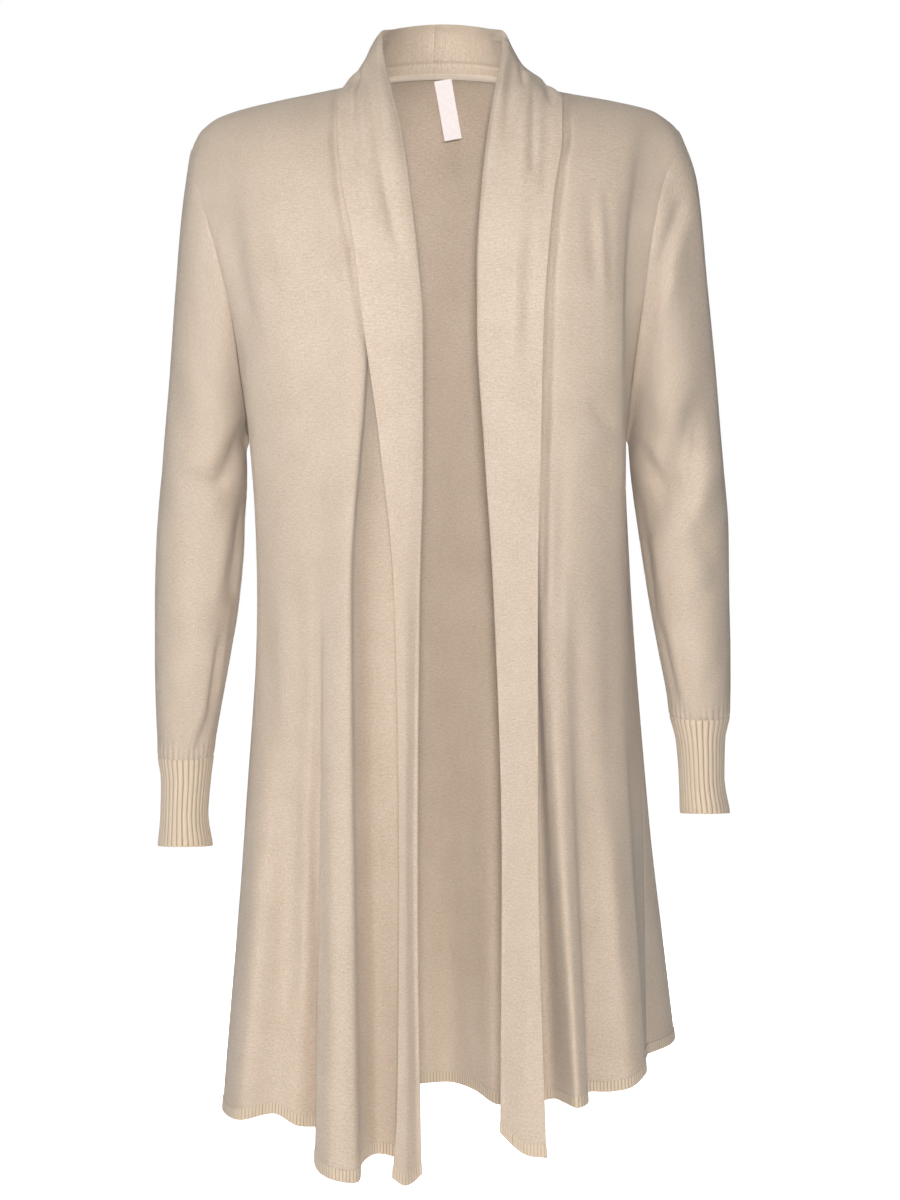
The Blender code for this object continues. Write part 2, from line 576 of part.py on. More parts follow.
def add_piece(name, points, faces, finish):
    """A mesh object, with its faces pointing outwards, from points in millimetres."""
    mesh = bpy.data.meshes.new(name)
    mesh.from_pydata([tuple(p) for p in points * MM], [], faces)
    mesh.update()
    mesh.calc_loop_triangles()
    corners = np.array([[points[k] for k in tri.vertices] for tri in mesh.loop_triangles])
    if np.linalg.det(corners).sum() < 0:
        mesh.flip_normals()
    mesh.shade_smooth()
    mesh.set_sharp_from_angle(angle=math.radians(50))
    obj = bpy.data.objects.new(name, mesh)
    bpy.context.scene.collection.objects.link(obj)
    mesh.materials.append(material(*finish))
    return obj


def material(name, colour, roughness):
    found = bpy.data.materials.get(name) or bpy.data.materials.new(name)
    found.use_nodes = True
    shader = found.node_tree.nodes["Principled BSDF"]
    shader.inputs["Base Color"].default_value = colour
    shader.inputs["Roughness"].default_value = roughness
    shader.inputs["Metallic"].default_value = 0.0
    return found


def add_cloth(name, wall, thickness=CLOTH, finish=KNIT, closed=False):
    half = wall.way * thickness / 2
    add_piece(name, *wall_mesh(wall.points + half, wall.points - half, closed), finish)


def steps_between(stations, parts):
    """Values from station to station, each stretch in its number of equal parts."""
    found = [stations[0]]
    for low, high, count in zip(stations[:-1], stations[1:], parts):
        found += list(np.linspace(low, high, count + 1)[1:])
    return np.array(found)


def sew_armhole(front, back, column, sleeve):
    """Parts both panels from the first ring of the sleeve. The ring goes down the front from the
    shoulder to the underarm and up the back."""
    beside = 1 if column == 0 else -2
    down, up = np.arange(ARMHOLE_ROWS + 1), np.arange(ARMHOLE_ROWS - 1, 0, -1)
    into_front = front.inwards((down, column), (down, beside))
    into_back = back.inwards((up, column), (up, beside))
    into_front[0] += back.inwards((0, column), (0, beside))
    into_front[-1] = front.inwards((ARMHOLE_ROWS, column), (ARMHOLE_ROWS + 1, column))
    into_panels = unit(np.concatenate([into_front, into_back]))
    outward = np.concatenate([front.way[down, column], back.way[up, column]])
    outward[0] += back.way[0, column]
    ring = sleeve.points[0]
    along = np.roll(ring, -1, axis=0) - np.roll(ring, 1, axis=0)
    every = np.arange(len(ring))
    step, way = mitre(along, into_panels, sleeve.inwards((0, every), (1, every)), outward)
    front.points[down, column] -= step[down]
    front.way[down, column] = way[down]
    on_ring = (len(ring) - down) % len(ring)
    back.points[down, column] -= step[on_ring]
    back.way[down, column] = way[on_ring]
    sleeve.points[0] += step
    sleeve.way[0] = way


def square_off(wall, row, axis):
    """Turns the edge of a row square to an axis, so that it doesn't touch the edge it is sewn to."""
    wall.way[row, :, axis] = 0
    wall.way[row] = unit(wall.way[row])


def make_sleeve(rows, front, back, creases, side):
    tube = Tube(rows, armhole_ring(front, back), creases)
    tube.outward = side
    angles = np.arange(2 * ARMHOLE_ROWS) * math.pi / ARMHOLE_ROWS
    wall = Wall(tube, angles, steps_between((0, 4, len(rows) - 1), SLEEVE_PARTS), closed=True)
    every = np.arange(len(angles))
    wall.draw_in((-1, every), (-2, every))
    square_off(wall, -1, 2)
    return wall


def armhole_ring(front, back):
    """Points round the armhole at the rows of the panels: down the front, then up the back."""
    rows = body_rows()[:ARMHOLE_ROWS + 1]
    below = (front[-1], (front[-1][0], front[-1][1], -900.0))
    down = side_line(rows, front, below)
    up = side_line(rows, back, below)[::-1]
    return np.concatenate([down[:-1], up[:-1]])


def add_cuff(name, rows, side):
    tube = Tube(rows, foot_rise=CUFF_FOOT_RISE)
    tube.outward = side
    count = 2 * CUFF_RIBS
    wall = Wall(tube, np.arange(count) * 2 * math.pi / count, np.linspace(0, len(rows) - 1, 4), closed=True)
    every = np.arange(count)
    wall.draw_in((0, every), (1, every))
    square_off(wall, 0, 2)
    ribs = np.where(every % 2 == 0, RIB_RAISE, 0.0)[None, :, None]
    outer = wall.points + wall.way * (CLOTH / 2 + ribs)
    inner = (wall.points - wall.way * CLOTH / 2)[:, ::2]
    add_piece(name, *wall_mesh(outer, inner, closed=True), RIB)


def add_label():
    """The blank neck label, sewn in under the collar seam at the back."""
    width, length, thick = LABEL_SIZE
    tilt, lean = math.radians(LABEL_TILT), math.radians(LABEL_LEAN)
    across = np.array([math.cos(tilt), 0, math.sin(tilt)])
    down = np.array([math.sin(tilt), math.sin(lean), -math.cos(tilt) * math.cos(lean)])
    face = np.cross(across, down)
    columns, rows = np.linspace(-width / 2, width / 2, 3), np.linspace(0, length, 5)
    grid = np.array(LABEL_TOP) + rows[:, None, None] * down + columns[None, :, None] * across
    grid = grid + LABEL_CURL * np.sin(rows / length * math.pi)[:, None, None] * face
    add_piece("label", *wall_mesh(grid + face * thick / 2, grid - face * thick / 2), LABEL)


def body_rows():
    seam = 3 - (HEM_DEPTH + SEAM_GAP) / WAIST_TO_HEM
    return steps_between((0, 1, UNDERARM_V, 2, seam), BODY_PARTS)


def hem_rows():
    return np.array([3 - HEM_DEPTH / WAIST_TO_HEM, 3.0])


def back_columns(back):
    """Half steps across the back, and third steps round the neck."""
    end = back.neck + len(NECK_TURNS) - 1
    return np.concatenate([np.arange(0, back.neck, 0.5), np.arange(3 * back.neck, 3 * end) / 3,
                           np.arange(end, back.count - 0.9, 0.5)])


def sew_body(front_right, front_left, back, first_row):
    """The side seams, from a row down."""
    for front, column, beside in ((front_right, 0, 1), (front_left, -1, -2)):
        rows = np.arange(first_row, len(front.points))
        sew(front, (rows, column), (rows, beside), back, (rows, column), (rows, beside))


def sew_band(front, column, beside, band, first_row):
    rows = np.arange(len(front.points))
    sew(front, (rows, column), (rows, beside), band, (rows + first_row, 0), (rows + first_row, 1))


def build():
    clear_scene()
    right = Panel(FRONT_RIGHT, (SHOULDER_RIGHT,), [(True, ARMHOLES["front_right"], SIDE_RIGHT)])
    left = Panel(FRONT_LEFT[::-1], (SHOULDER_LEFT,), [(False, ARMHOLES["front_left"], SIDE_LEFT)])
    back = Panel(BACK, (SHOULDER_RIGHT, SHOULDER_LEFT),
                 [(True, ARMHOLES["back_right"], SIDE_RIGHT), (False, ARMHOLES["back_left"], SIDE_LEFT)], neck=5)
    bands = (Band(right, right.count - 1, BAND_RIGHT, PLEATS_RIGHT, -1.0),
             Band(left, 0, BAND_LEFT, PLEATS_LEFT, 1.0))
    columns = (np.arange(0, right.count - 0.5, 0.5), np.arange(0, left.count - 0.5, 0.5), back_columns(back))

    rows = body_rows()
    walls = [Wall(panel, u, rows) for panel, u in zip((right, left, back), columns)]
    hems = [Wall(panel, u, hem_rows()) for panel, u in zip((right, left, back), columns)]
    front_right, front_left, back_wall = walls
    for wall in walls:
        every = np.arange(wall.points.shape[1])
        wall.draw_in((0, every), (1, every))
        square_off(wall, 0, 1)

    sleeve_right = make_sleeve(SLEEVE_RIGHT, ARMHOLES["front_right"], ARMHOLES["back_right"], CREASES_RIGHT, -1.0)
    sleeve_left = make_sleeve(SLEEVE_LEFT, ARMHOLES["front_left"], ARMHOLES["back_left"], CREASES_LEFT, 1.0)
    sew_armhole(front_right, back_wall, 0, sleeve_right)
    sew_armhole(front_left, back_wall, -1, sleeve_left)
    sew_body(front_right, front_left, back_wall, ARMHOLE_ROWS)
    sew_body(*hems, 0)

    turns = np.interp(columns[2], np.arange(back.neck, back.neck + len(NECK_TURNS)), NECK_TURNS, -999, 999)
    neck = {-1: np.flatnonzero((turns >= NECK_TURNS[0]) & (turns <= BACK_SEAM_TURN))[::-1],
            1: np.flatnonzero((turns <= NECK_TURNS[-1]) & (turns >= BACK_SEAM_TURN))}
    across = steps_between((0, 2, 4, 6), (2, 4, 4))
    for band, name, front, column in ((bands[0], "band_right", 0, -1), (bands[1], "band_left", 1, 0)):
        beside = -2 if column == -1 else 1
        on_neck = neck[int(band.outward)]
        back_rows = band.v_at_turn(turns[on_neck])[:-1]
        wall = Wall(band, across, np.concatenate([back_rows, rows]))
        hem = Wall(band, across, hem_rows())
        every = np.arange(len(across))
        wall.draw_in((0, every), (1, every))
        sew_band(walls[front], column, beside, wall, len(back_rows))
        sew_band(hems[front], column, beside, hem, 0)
        along = np.arange(len(on_neck))
        sew(back_wall, (0, on_neck), (1, on_neck), wall, (along, 0), (along, 1))
        add_cloth(name, wall)
        add_cloth("hem_" + name, hem, CLOTH + 2 * HEM_RAISE, RIB)

    for name, wall, hem in zip(("front_right", "front_left", "back"), walls, hems):
        add_cloth(name, wall)
        add_cloth("hem_" + name, hem, CLOTH + 2 * HEM_RAISE, RIB)
    add_cloth("sleeve_right", sleeve_right, closed=True)
    add_cloth("sleeve_left", sleeve_left, closed=True)
    add_cuff("cuff_right", CUFF_RIGHT, -1.0)
    add_cuff("cuff_left", CUFF_LEFT, 1.0)
    add_label()


build()
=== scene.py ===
# %% [markdown]
# # A long open-front cardigan in fine knit
#
# This lesson builds a cardigan that hangs as it does on its wearer: two fronts that fall open, a shawl
# band turned back along the opening, long sleeves with ribbed cuffs, and a ribbed hem.
#
# On a real garment each of these is a flat knitted piece, and the sewing and the wearer give the shape.
# Here every piece is a surface worked out from a few named lines: the seams it is sewn along and the
# folds it falls into. That keeps the seams matched, and it lets one short table say where a fold goes.
#
# All tables are in millimetres. Right and left are the wearer's, so the right side has negative X, and
# the wearer faces -Y. The origin is at the neck, on the shoulder line.

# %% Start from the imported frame
import math

import bpy
import numpy as np
from mathutils import Matrix


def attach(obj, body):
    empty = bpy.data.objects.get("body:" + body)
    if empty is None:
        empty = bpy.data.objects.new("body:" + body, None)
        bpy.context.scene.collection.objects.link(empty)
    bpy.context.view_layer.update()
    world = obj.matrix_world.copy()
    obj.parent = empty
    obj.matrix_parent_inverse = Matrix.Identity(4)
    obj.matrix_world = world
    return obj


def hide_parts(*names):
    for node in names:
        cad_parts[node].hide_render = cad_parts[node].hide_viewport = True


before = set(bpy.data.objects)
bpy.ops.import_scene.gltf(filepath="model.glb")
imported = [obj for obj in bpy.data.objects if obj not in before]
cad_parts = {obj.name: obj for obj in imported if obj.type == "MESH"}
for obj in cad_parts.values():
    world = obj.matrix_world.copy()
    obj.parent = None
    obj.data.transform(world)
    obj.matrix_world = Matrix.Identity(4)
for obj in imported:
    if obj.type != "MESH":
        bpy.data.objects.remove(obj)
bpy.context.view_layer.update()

MM = 0.001
TINY = 1e-6

# %% [markdown]
# ## Curves
#
# A fold should flow down the cloth without waves that nobody put there. So the values down a line pass
# through the table's rows without ever overshooting them, while the curve across the lines is a round
# one, because cloth turns over its folds in a soft bend.

# %% Curves through table rows
STEPS_PER_POINT = 40


def unit(way):
    return way / np.linalg.norm(way, axis=-1, keepdims=True)


def smooth_step(t):
    t = np.clip(t, 0.0, 1.0)
    return t * t * (3 - 2 * t)


def hermite(t, start, start_slope, end, end_slope):
    """The cubic from start to end while t goes from 0 to 1."""
    return ((2 * t**3 - 3 * t**2 + 1) * start + (t**3 - 2 * t**2 + t) * start_slope
            + (3 * t**2 - 2 * t**3) * end + (t**3 - t**2) * end_slope)


def flowing(knots, values, at):
    """Values at the places asked for, on a curve through the knots that never overshoots them."""
    x, y = np.asarray(knots, float), np.asarray(values, float)
    if y.ndim == 1:
        return flowing(x, y[:, None], at)[:, 0]
    step = np.diff(x)[:, None]
    slope = np.diff(y, axis=0) / step
    tangent = np.zeros_like(y)
    same_way = slope[:-1] * slope[1:] > 0
    blend = 2 * slope[:-1] * slope[1:] / np.where(same_way, slope[:-1] + slope[1:], 1.0)
    tangent[1:-1] = np.where(same_way, blend, 0.0)
    tangent[0], tangent[-1] = slope[0], slope[-1]
    at = np.atleast_1d(np.asarray(at, float))
    i = np.clip(np.searchsorted(x, at, side="right") - 1, 0, len(x) - 2)
    t = (at[:, None] - x[i][:, None]) / step[i]
    return hermite(t, y[i], step[i] * tangent[i], y[i + 1], step[i] * tangent[i + 1])


def round_curve(points, at):
    """A round curve through points, read at fractions of the point number."""
    p = np.asarray(points, float)
    p = np.vstack([2 * p[0] - p[1], p, 2 * p[-1] - p[-2]])
    at = np.atleast_1d(np.asarray(at, float))
    i = np.clip(np.floor(at).astype(int), 0, len(p) - 4)
    a, b, c, d = (p[i + k] for k in range(4))
    ab, bc, cd = (np.sqrt(np.linalg.norm(way, axis=1))[:, None] + TINY for way in (b - a, c - b, d - c))
    start_slope = ((b - a) / ab - (c - a) / (ab + bc) + (c - b) / bc) * bc
    end_slope = ((c - b) / bc - (d - b) / (bc + cd) + (d - c) / cd) * bc
    return hermite((at - i)[:, None], b, start_slope, c, end_slope)


def run_along(points):
    """Distance from the first point to each, along the line that they make."""
    return np.concatenate([[0.0], np.cumsum(np.linalg.norm(np.diff(points, axis=0), axis=1))])


def along_curve(points, shares):
    fine = round_curve(points, np.linspace(0, len(points) - 1, STEPS_PER_POINT * len(points)))
    run = run_along(fine)
    shares = np.atleast_1d(shares) * run[-1]
    return np.stack([np.interp(shares, run, fine[:, k]) for k in range(3)], axis=1)


def steps_between(stations, parts):
    """Values from station to station, each stretch in its number of equal parts."""
    found = [stations[0]]
    for low, high, count in zip(stations[:-1], stations[1:], parts):
        found += list(np.linspace(low, high, count + 1)[1:])
    return np.array(found)


# %% [markdown]
# ## The tables of the garment
#
# The seams come first, because two pieces share each of them. Then each panel has its lines, from the
# shoulder to the hem: a crest, a valley or an edge of the cloth, with its place at the bust, the waist
# and the hem. They are the same lines as in the solid part, so the visible cloth lies on its solids.

# %% Seams
BUST_Z, WAIST_Z = -190.0, -420.0
UNDERARM_V = 1.46
BODY_PARTS = (9, 4, 4, 7)
ARMHOLE_ROWS = BODY_PARTS[0] + BODY_PARTS[1]
WAIST_TO_HEM, HEM_DEPTH = 470.0, 10.0
PANEL_RUN = (0.0, 230.0, 460.0, 930.0)
TOP_EASES = 0.3
CUFF_FOOT_RISE = 4.5

NECK_X, NECK_Y = 4.0, 5.0
NECK_SEAM_HALF = (66.0, 60.0, 12.0, 6.0)
COLLAR_TOP_HALF = (50.0, 55.0, 57.0, 7.5)
SHOULDER_TIP_OUT, SHOULDER_TIP_Y = 205.0, 2.0
SHOULDER_RIGHT = ((-62, 6), (-84, 1), (-108, -4), (-133, -9), (-182, -22), (-200, -34), (-209, -50))
SHOULDER_LEFT = ((70, 6), (104, -2), (149, -10), (182, -18), (195, -26), (204, -34))
ARMHOLES = {
    "front_right": ((-209, 2, -50), (-205, -22, -69), (-197, -38, -96), (-185, -50, -135),
                    (-174, -52, -180), (-166, -34, -243), (-161, 2, -296)),
    "back_right": ((-209, 2, -50), (-206, 26, -72), (-199, 44, -104), (-189, 54, -145),
                   (-178, 54, -190), (-168, 36, -247), (-161, 2, -296)),
    "front_left": ((204, 2, -34), (202, -20, -50), (190, -36, -75), (181, -49, -112),
                   (173, -51, -170), (165, -34, -235), (160, 2, -296)),
    "back_left": ((204, 2, -34), (203, 26, -55), (194, 44, -88), (185, 54, -130),
                  (176, 54, -180), (167, 36, -240), (160, 2, -296)),
}
SIDE_RIGHT = ((-161, 2, -296), (-156, 6, -350), (-155, 8, -420), (-167, 10, -620), (-187, 10, -877))
SIDE_LEFT = ((160, 2, -296), (159, 6, -350), (163, 8, -420), (178, 12, -620), (183, 16, -838))

# %% Lines down the panels
FRONT_RIGHT = (
    ("flank", -196, -161, -70, -151, -40, -185, -34, -876),
    ("outer_crest", -176, -147, -86, -134, -70, -168, -72, -873),
    ("soft_valley", -156, -130, -96, -115, -84, -140, -66, -869),
    ("step_crest", -140, -114, -101, -105, -90, -121, -71, -878),
    ("deep_valley", -126, -99, -104, -98, -91, -99, -62, -884),
    ("roll_fold_side", -114, -87, -106, -93, -95, -104, -94, -905),
    ("roll_fold_front", -103, -76, -107, -85, -101, -89, -124, -910),
    ("roll_fold_edge", -91, -59, -107, -73, -104, -68.5, -122, -913),
    ("recess_side", -84, -56, -102, -70, -91, -65, -96, -904),
    ("recess_back", -77, -47, -97, -56, -78, -52, -74, -902),
    ("recess_inner", -70, -34, -98, -36, -80, -34, -80, -904),
    ("band_seam", -62, -24, -102, -22, -94, -21, -104, -906),
)
FRONT_LEFT = (
    ("flank", 186, 156, -68, 159, -36, 178, -20, -838),
    ("side_crest", 170, 152, -82, 152, -62, 177, -60, -836),
    ("panel_outer", 153, 140, -92, 140, -77, 164, -78, -843),
    ("panel_inner", 138, 128, -98, 127, -87, 147, -80, -846),
    ("deep_valley", 125, 115, -103, 114, -94, 127, -78, -847),
    ("fold_crest_side", 113, 104, -106, 105, -99, 126, -103, -850),
    ("fold_crest_front", 103, 93, -107, 95, -102, 118, -114, -851),
    ("fold_crest_edge", 94, 82, -107, 86, -99, 109, -99, -851),
    ("recess_back", 86, 71, -103, 80, -83, 98, -77, -853),
    ("recess_inner", 78, 59, -101, 70, -83, 82, -78, -857),
    ("band_seam", 70, 48, -102, 60, -93, 66, -98, -864),
)
BACK = (
    ("flank_right", -196, -165, 70, -151, 48, -184, 58, -881),
    ("corner_right", -166, -142, 89, -130, 76, -160, 100, -889),
    ("valley_right", -130, -110, 98, -100, 90, -113, 103, -890),
    ("crest_right", -96, -78, 103, -68, 96, -70, 130, -893),
    ("neck_right", "neck", -50, 105, -38, 96, -30, 114, -892),
    ("neck_right_mid", "neck", -28, 106, -20, 95, -10, 121, -892),
    ("middle", "neck", -2, 106, 0, 95, 12, 124, -892),
    ("neck_left_mid", "neck", 24, 106, 22, 94, 33, 104, -894),
    ("neck_left", "neck", 56, 105, 46, 93, 54, 84, -902),
    ("crest_left", 102, 84, 103, 74, 96, 92, 128, -899),
    ("valley_left", 132, 114, 98, 104, 90, 133, 108, -878),
    ("corner_left", 158, 142, 89, 134, 76, 178, 122, -855),
    ("hip_crest_left", 178, 152, 76, 158, 52, 209, 92, -840),
    ("flank_left", 188, 157, 62, 166, 32, 206, 52, -838),
)
NECK_TURNS = (-90.0, -50.0, -8.7, 50.0, 90.0)
BACK_SEAM_TURN = NECK_TURNS[2]

# %% [markdown]
# The shawl band has rows of its own. v is 0 at the shoulder, 1 at the bust, 2 at the waist and 3 at the
# hem, and below 0 it goes back round the neck. A row gives the roll line, which edges the opening, and
# the free edge, which lies on the front.

# %% Rows of the band
BAND_RIGHT = (
    (-0.20, -44.5, 21, 42, -46.5, 22, 50.5, 0.5, 0.15),
    (0.00, -47, 8, 44, -55.5, 11, 37.5, 0.5, 0.85),
    (0.10, -47, -5, 36, -62.5, 4, 23, 0.5, 1.0),
    (0.22, -43.5, -22, 19, -77, -13, 5, 0.5, 1.0),
    (0.35, -38, -46, -3, -83.5, -39, -8, 2.0, 1.0),
    (0.50, -30, -69, -34, -82.5, -67, -36, 4.0, 1.0),
    (0.66, -23, -91, -80, -78.5, -91, -76, 3.5, 1.0),
    (0.82, -17, -104, -131, -69, -106, -124, 3.0, 1.0),
    (1.00, -12, -111, -190, -61, -114, -190, 2.5, 1.0),
    (1.46, -12, -109, -296, -47, -113, -296, 2.0, 1.0),
    (2.00, -15, -105, -420, -36, -111, -420, 2.0, 1.0),
    (2.50, -17, -114, -655, -32, -122, -655, 2.5, 1.0),
    (2.88, -15, -124, -848, -34, -134, -848, 3.0, 1.0),
    (3.00, -14, -127, -905, -38, -138, -905, 3.0, 1.0),
)
BAND_LEFT = (
    (-0.20, 52.5, 21, 42, 54.5, 22, 50.5, 0.5, 0.15),
    (0.00, 55, 8, 42, 63.5, 11, 34, 1.0, 0.9),
    (0.10, 55, -5, 33, 72, 4, 20, 0.5, 1.0),
    (0.22, 52, -22, 18, 92, -13, 5, 0.5, 1.0),
    (0.35, 47, -46, -6, 103.5, -39, -9, 2.0, 1.0),
    (0.50, 41, -69, -43, 103, -67, -40, 4.0, 1.0),
    (0.66, 36, -91, -90, 96, -91, -84, 3.5, 1.0),
    (0.82, 33, -104, -140, 91, -106, -131, 3.0, 1.0),
    (1.00, 33, -111, -190, 87, -114, -190, 2.5, 1.0),
    (1.46, 39, -109, -296, 85, -113, -296, 2.0, 1.0),
    (2.00, 47, -105, -420, 83, -111, -420, 2.0, 1.0),
    (2.50, 54, -113, -645, 84, -122, -645, 2.5, 1.0),
    (3.00, 53, -120, -871, 91, -137, -888, 3.0, 1.0),
)
STANDS_BEHIND, STAND_SHARE, ROLL_RADIUS = -0.4, 0.8, 2.6
FOOT_DROP, FOOT_FROM = 7.0, 2.6
ROLL_STEP, SWELL_UP, SWELL_UNDER = 0.02, 0.45, 0.2
PLEATS_RIGHT = ((0.45, 0.11, 2.4, 0.14, 0.80), (0.78, 0.09, 1.2, 0.16, 0.55))
PLEATS_LEFT = ((0.34, 0.10, 2.0, 0.14, 0.75), (0.68, 0.10, 2.0, 0.16, 0.70))
PLEAT_SETS_IN, PLEAT_FADES = 0.12, 0.6
VALLEY_AT, VALLEY_SHARE = 1.7, 0.5

# %% Rings of the sleeves and cuffs
SLEEVE_RIGHT = (
    (-209, -50, -161, -296, 1, 53),
    (-217, -105, -163, -303, 1, 56),
    (-223, -170, -164, -313, 2, 57),
    (-229, -245, -164, -328, 4, 56),
    (-235, -310, -165, -350, 6, 54),
    (-241, -375, -167, -388, 6, 52),
    (-243, -439, -172, -439, 2, 49),
    (-243, -482, -179, -482, -4, 45),
    (-242, -526, -187, -526, -10, 39),
    (-240, -566, -194, -566, -15, 33),
)
SLEEVE_LEFT = (
    (204, -34, 160, -296, 1, 53),
    (219, -76, 163, -301, 1, 56),
    (229, -165, 164, -310, 2, 57),
    (237, -240, 165, -322, 4, 56),
    (243, -308, 168, -345, 6, 54),
    (249, -375, 174, -385, 6, 52),
    (250, -435, 182, -435, 2, 48),
    (251, -478, 190, -478, -4, 44),
    (251, -508, 196, -508, -8, 40),
    (250, -532, 200, -532, -11, 35),
)
CUFF_RIGHT = (
    (-240, -566, -194, -566, -15, 33),
    (-237, -590, -197, -590, -18, 29),
    (-237.5, -617, -199, -617, -20, 28),
    (-240, -644, -195, -644, -23, 31),
)
CUFF_LEFT = (
    (250, -532, 200, -532, -11, 35),
    (245.5, -555, 206, -555, -14, 30),
    (245, -585, 208.5, -585, -17, 28),
    (250, -616, 209.5, -616, -20, 30),
)

# %% Main creases of the sleeves
# Columns: where along (0 armhole, 1 cuff), where round (degrees, 0 outer edge, 90 front, 180 inner
# edge), slant in degrees per length, width in degrees and in length, depth.
CREASES_RIGHT = (
    (0.50, 95, 0, 75, 0.045, 3.0),
    (0.30, 140, -260, 16, 0.16, 3.5),
    (0.62, 150, -60, 14, 0.20, 2.5),
)
CREASES_LEFT = (
    (0.28, 125, -260, 17, 0.14, 4.0),
    (0.47, 100, -330, 17, 0.12, 4.0),
    (0.60, 150, -60, 14, 0.20, 2.0),
)

# %% [markdown]
# ## Surfaces
#
# Three kinds of surface are enough. A panel goes over the shoulder in a quarter round and then follows
# its lines down. The band stands at the neck and turns over a soft roll. A sleeve is a stack of rings
# that start in the shape of the armhole and end level at the cuff.

# %% Seam lines
# A panel's curve is also pinned a little before the bust, where the quarter round hands over to it.
ARMHOLE_SHARES, PINNED_BEFORE_BUST = np.linspace(0, 1, 200), 0.9


def side_line(v, armhole, side_seam):
    """The outer edge of a panel: down the armhole, then down the side seam."""
    fine = along_curve(np.asarray(armhole, float), ARMHOLE_SHARES)
    at_bust = np.interp(-BUST_Z, -fine[:, 2], ARMHOLE_SHARES)
    share = flowing((0, 1, UNDERARM_V), (0, at_bust, 1), np.clip(v, 0, UNDERARM_V))
    on_hole = along_curve(np.asarray(armhole, float), share)
    seam = np.asarray(side_seam, float)
    waist_share = (WAIST_Z - seam[0, 2]) / (seam[-1, 2] - seam[0, 2])
    share = flowing((UNDERARM_V, 2, 3), (0, waist_share, 1), np.clip(v, UNDERARM_V, 3))
    z = seam[0, 2] + share * (seam[-1, 2] - seam[0, 2])
    on_side = np.stack([*flowing(-seam[:, 2], seam[:, :2], -z).T, z], axis=1)
    return np.where((v < UNDERARM_V)[:, None], on_hole, on_side)


def on_shoulder(shoulder, x):
    table = sorted(shoulder)
    z = flowing([row[0] for row in table], [row[1] for row in table], x)
    y = np.interp(np.abs(x - NECK_X), (NECK_SEAM_HALF[0], SHOULDER_TIP_OUT), (NECK_Y, SHOULDER_TIP_Y))
    return np.stack([x, y, z], axis=1)


def neck_ring(ring, turn):
    """A point on a ring round the neck. turn is 0 at the back and 90 at the wearer's left side."""
    half_width, depth, height, drop = ring
    side, back = math.sin(math.radians(turn)), math.cos(math.radians(turn))
    return np.array([NECK_X + half_width * side, NECK_Y + depth * back, height - drop * side**2])


def down_line(v, line, top):
    """A line of a panel: over the shoulder in a quarter round, then down through waist to hem."""
    _, _, bust_x, bust_y, waist_x, waist_y, hem_x, hem_y, hem_z = line
    run = np.interp(v, (0, 1, 2, 3), PANEL_RUN)
    x = flowing(PANEL_RUN, (top[0], bust_x, waist_x, hem_x), run)
    turn = np.clip(v, 0, 1) * math.pi / 2
    y_top = top[1] + (bust_y - top[1]) * np.sin(turn)
    z_top = top[2] + (BUST_Z - top[2]) * (1 - np.cos(turn))
    lower = np.maximum(v, 1)
    y_low = flowing((PINNED_BEFORE_BUST, 1, 2, 3), (bust_y, bust_y, waist_y, hem_y), lower)
    z_low = np.interp(lower, (1, 2, 3), (BUST_Z, WAIST_Z, hem_z))
    return np.stack([x, np.where(v < 1, y_top, y_low), np.where(v < 1, z_top, z_low)], axis=1)


# %% Panel surface


class Panel:
    """A surface across lines. Its side edges come from the seam tables, and u counts the lines."""

    def __init__(self, lines, shoulders, sides, neck=None):
        self.lines, self.shoulders, self.sides, self.neck = lines, shoulders, sides, neck
        self.outward = -1.0 if neck is None else 1.0
        self.count = len(lines) + len(sides)
        turns = iter(NECK_TURNS)
        self.top_x = [neck_ring(NECK_SEAM_HALF, next(turns))[0] if line[1] == "neck" else float(line[1])
                      for line in lines]
        for at_start, armhole, _ in sides:
            self.top_x.insert(0 if at_start else len(self.top_x), armhole[0][0])
        self.tops = self.top_row(np.arange(self.count))

    def top_row(self, u):
        x = np.interp(u, np.arange(self.count), self.top_x)
        sides = [on_shoulder(shoulder, x) for shoulder in (self.shoulders[0], self.shoulders[-1])]
        found = np.where((x < 0)[:, None], *sides)
        if self.neck is not None:
            last = self.neck + len(NECK_TURNS) - 1
            turns = np.interp(u, np.arange(self.neck, last + 1), NECK_TURNS)
            for k in np.flatnonzero((u >= self.neck) & (u <= last)):
                found[k] = neck_ring(NECK_SEAM_HALF, turns[k])
        return found

    def rails(self, v):
        start = 1 if self.sides[0][0] else 0
        rails = [down_line(v, line, self.tops[k + start]) for k, line in enumerate(self.lines)]
        for at_start, armhole, side_seam in self.sides:
            rails.insert(0 if at_start else len(rails), side_line(v, armhole, side_seam))
        return np.stack(rails, axis=1)

    def point(self, u, v):
        u, v = np.atleast_1d(u), np.atleast_1d(v)
        found = np.stack([round_curve(row, u) for row in self.rails(v)])
        off = self.top_row(u) - round_curve(self.tops, u)
        return found + off[None, :, :] * (1 - smooth_step(v / TOP_EASES))[:, None, None]


# %% Band surface


def square_to(way, line):
    line = unit(line)
    return way - line * (way @ line)


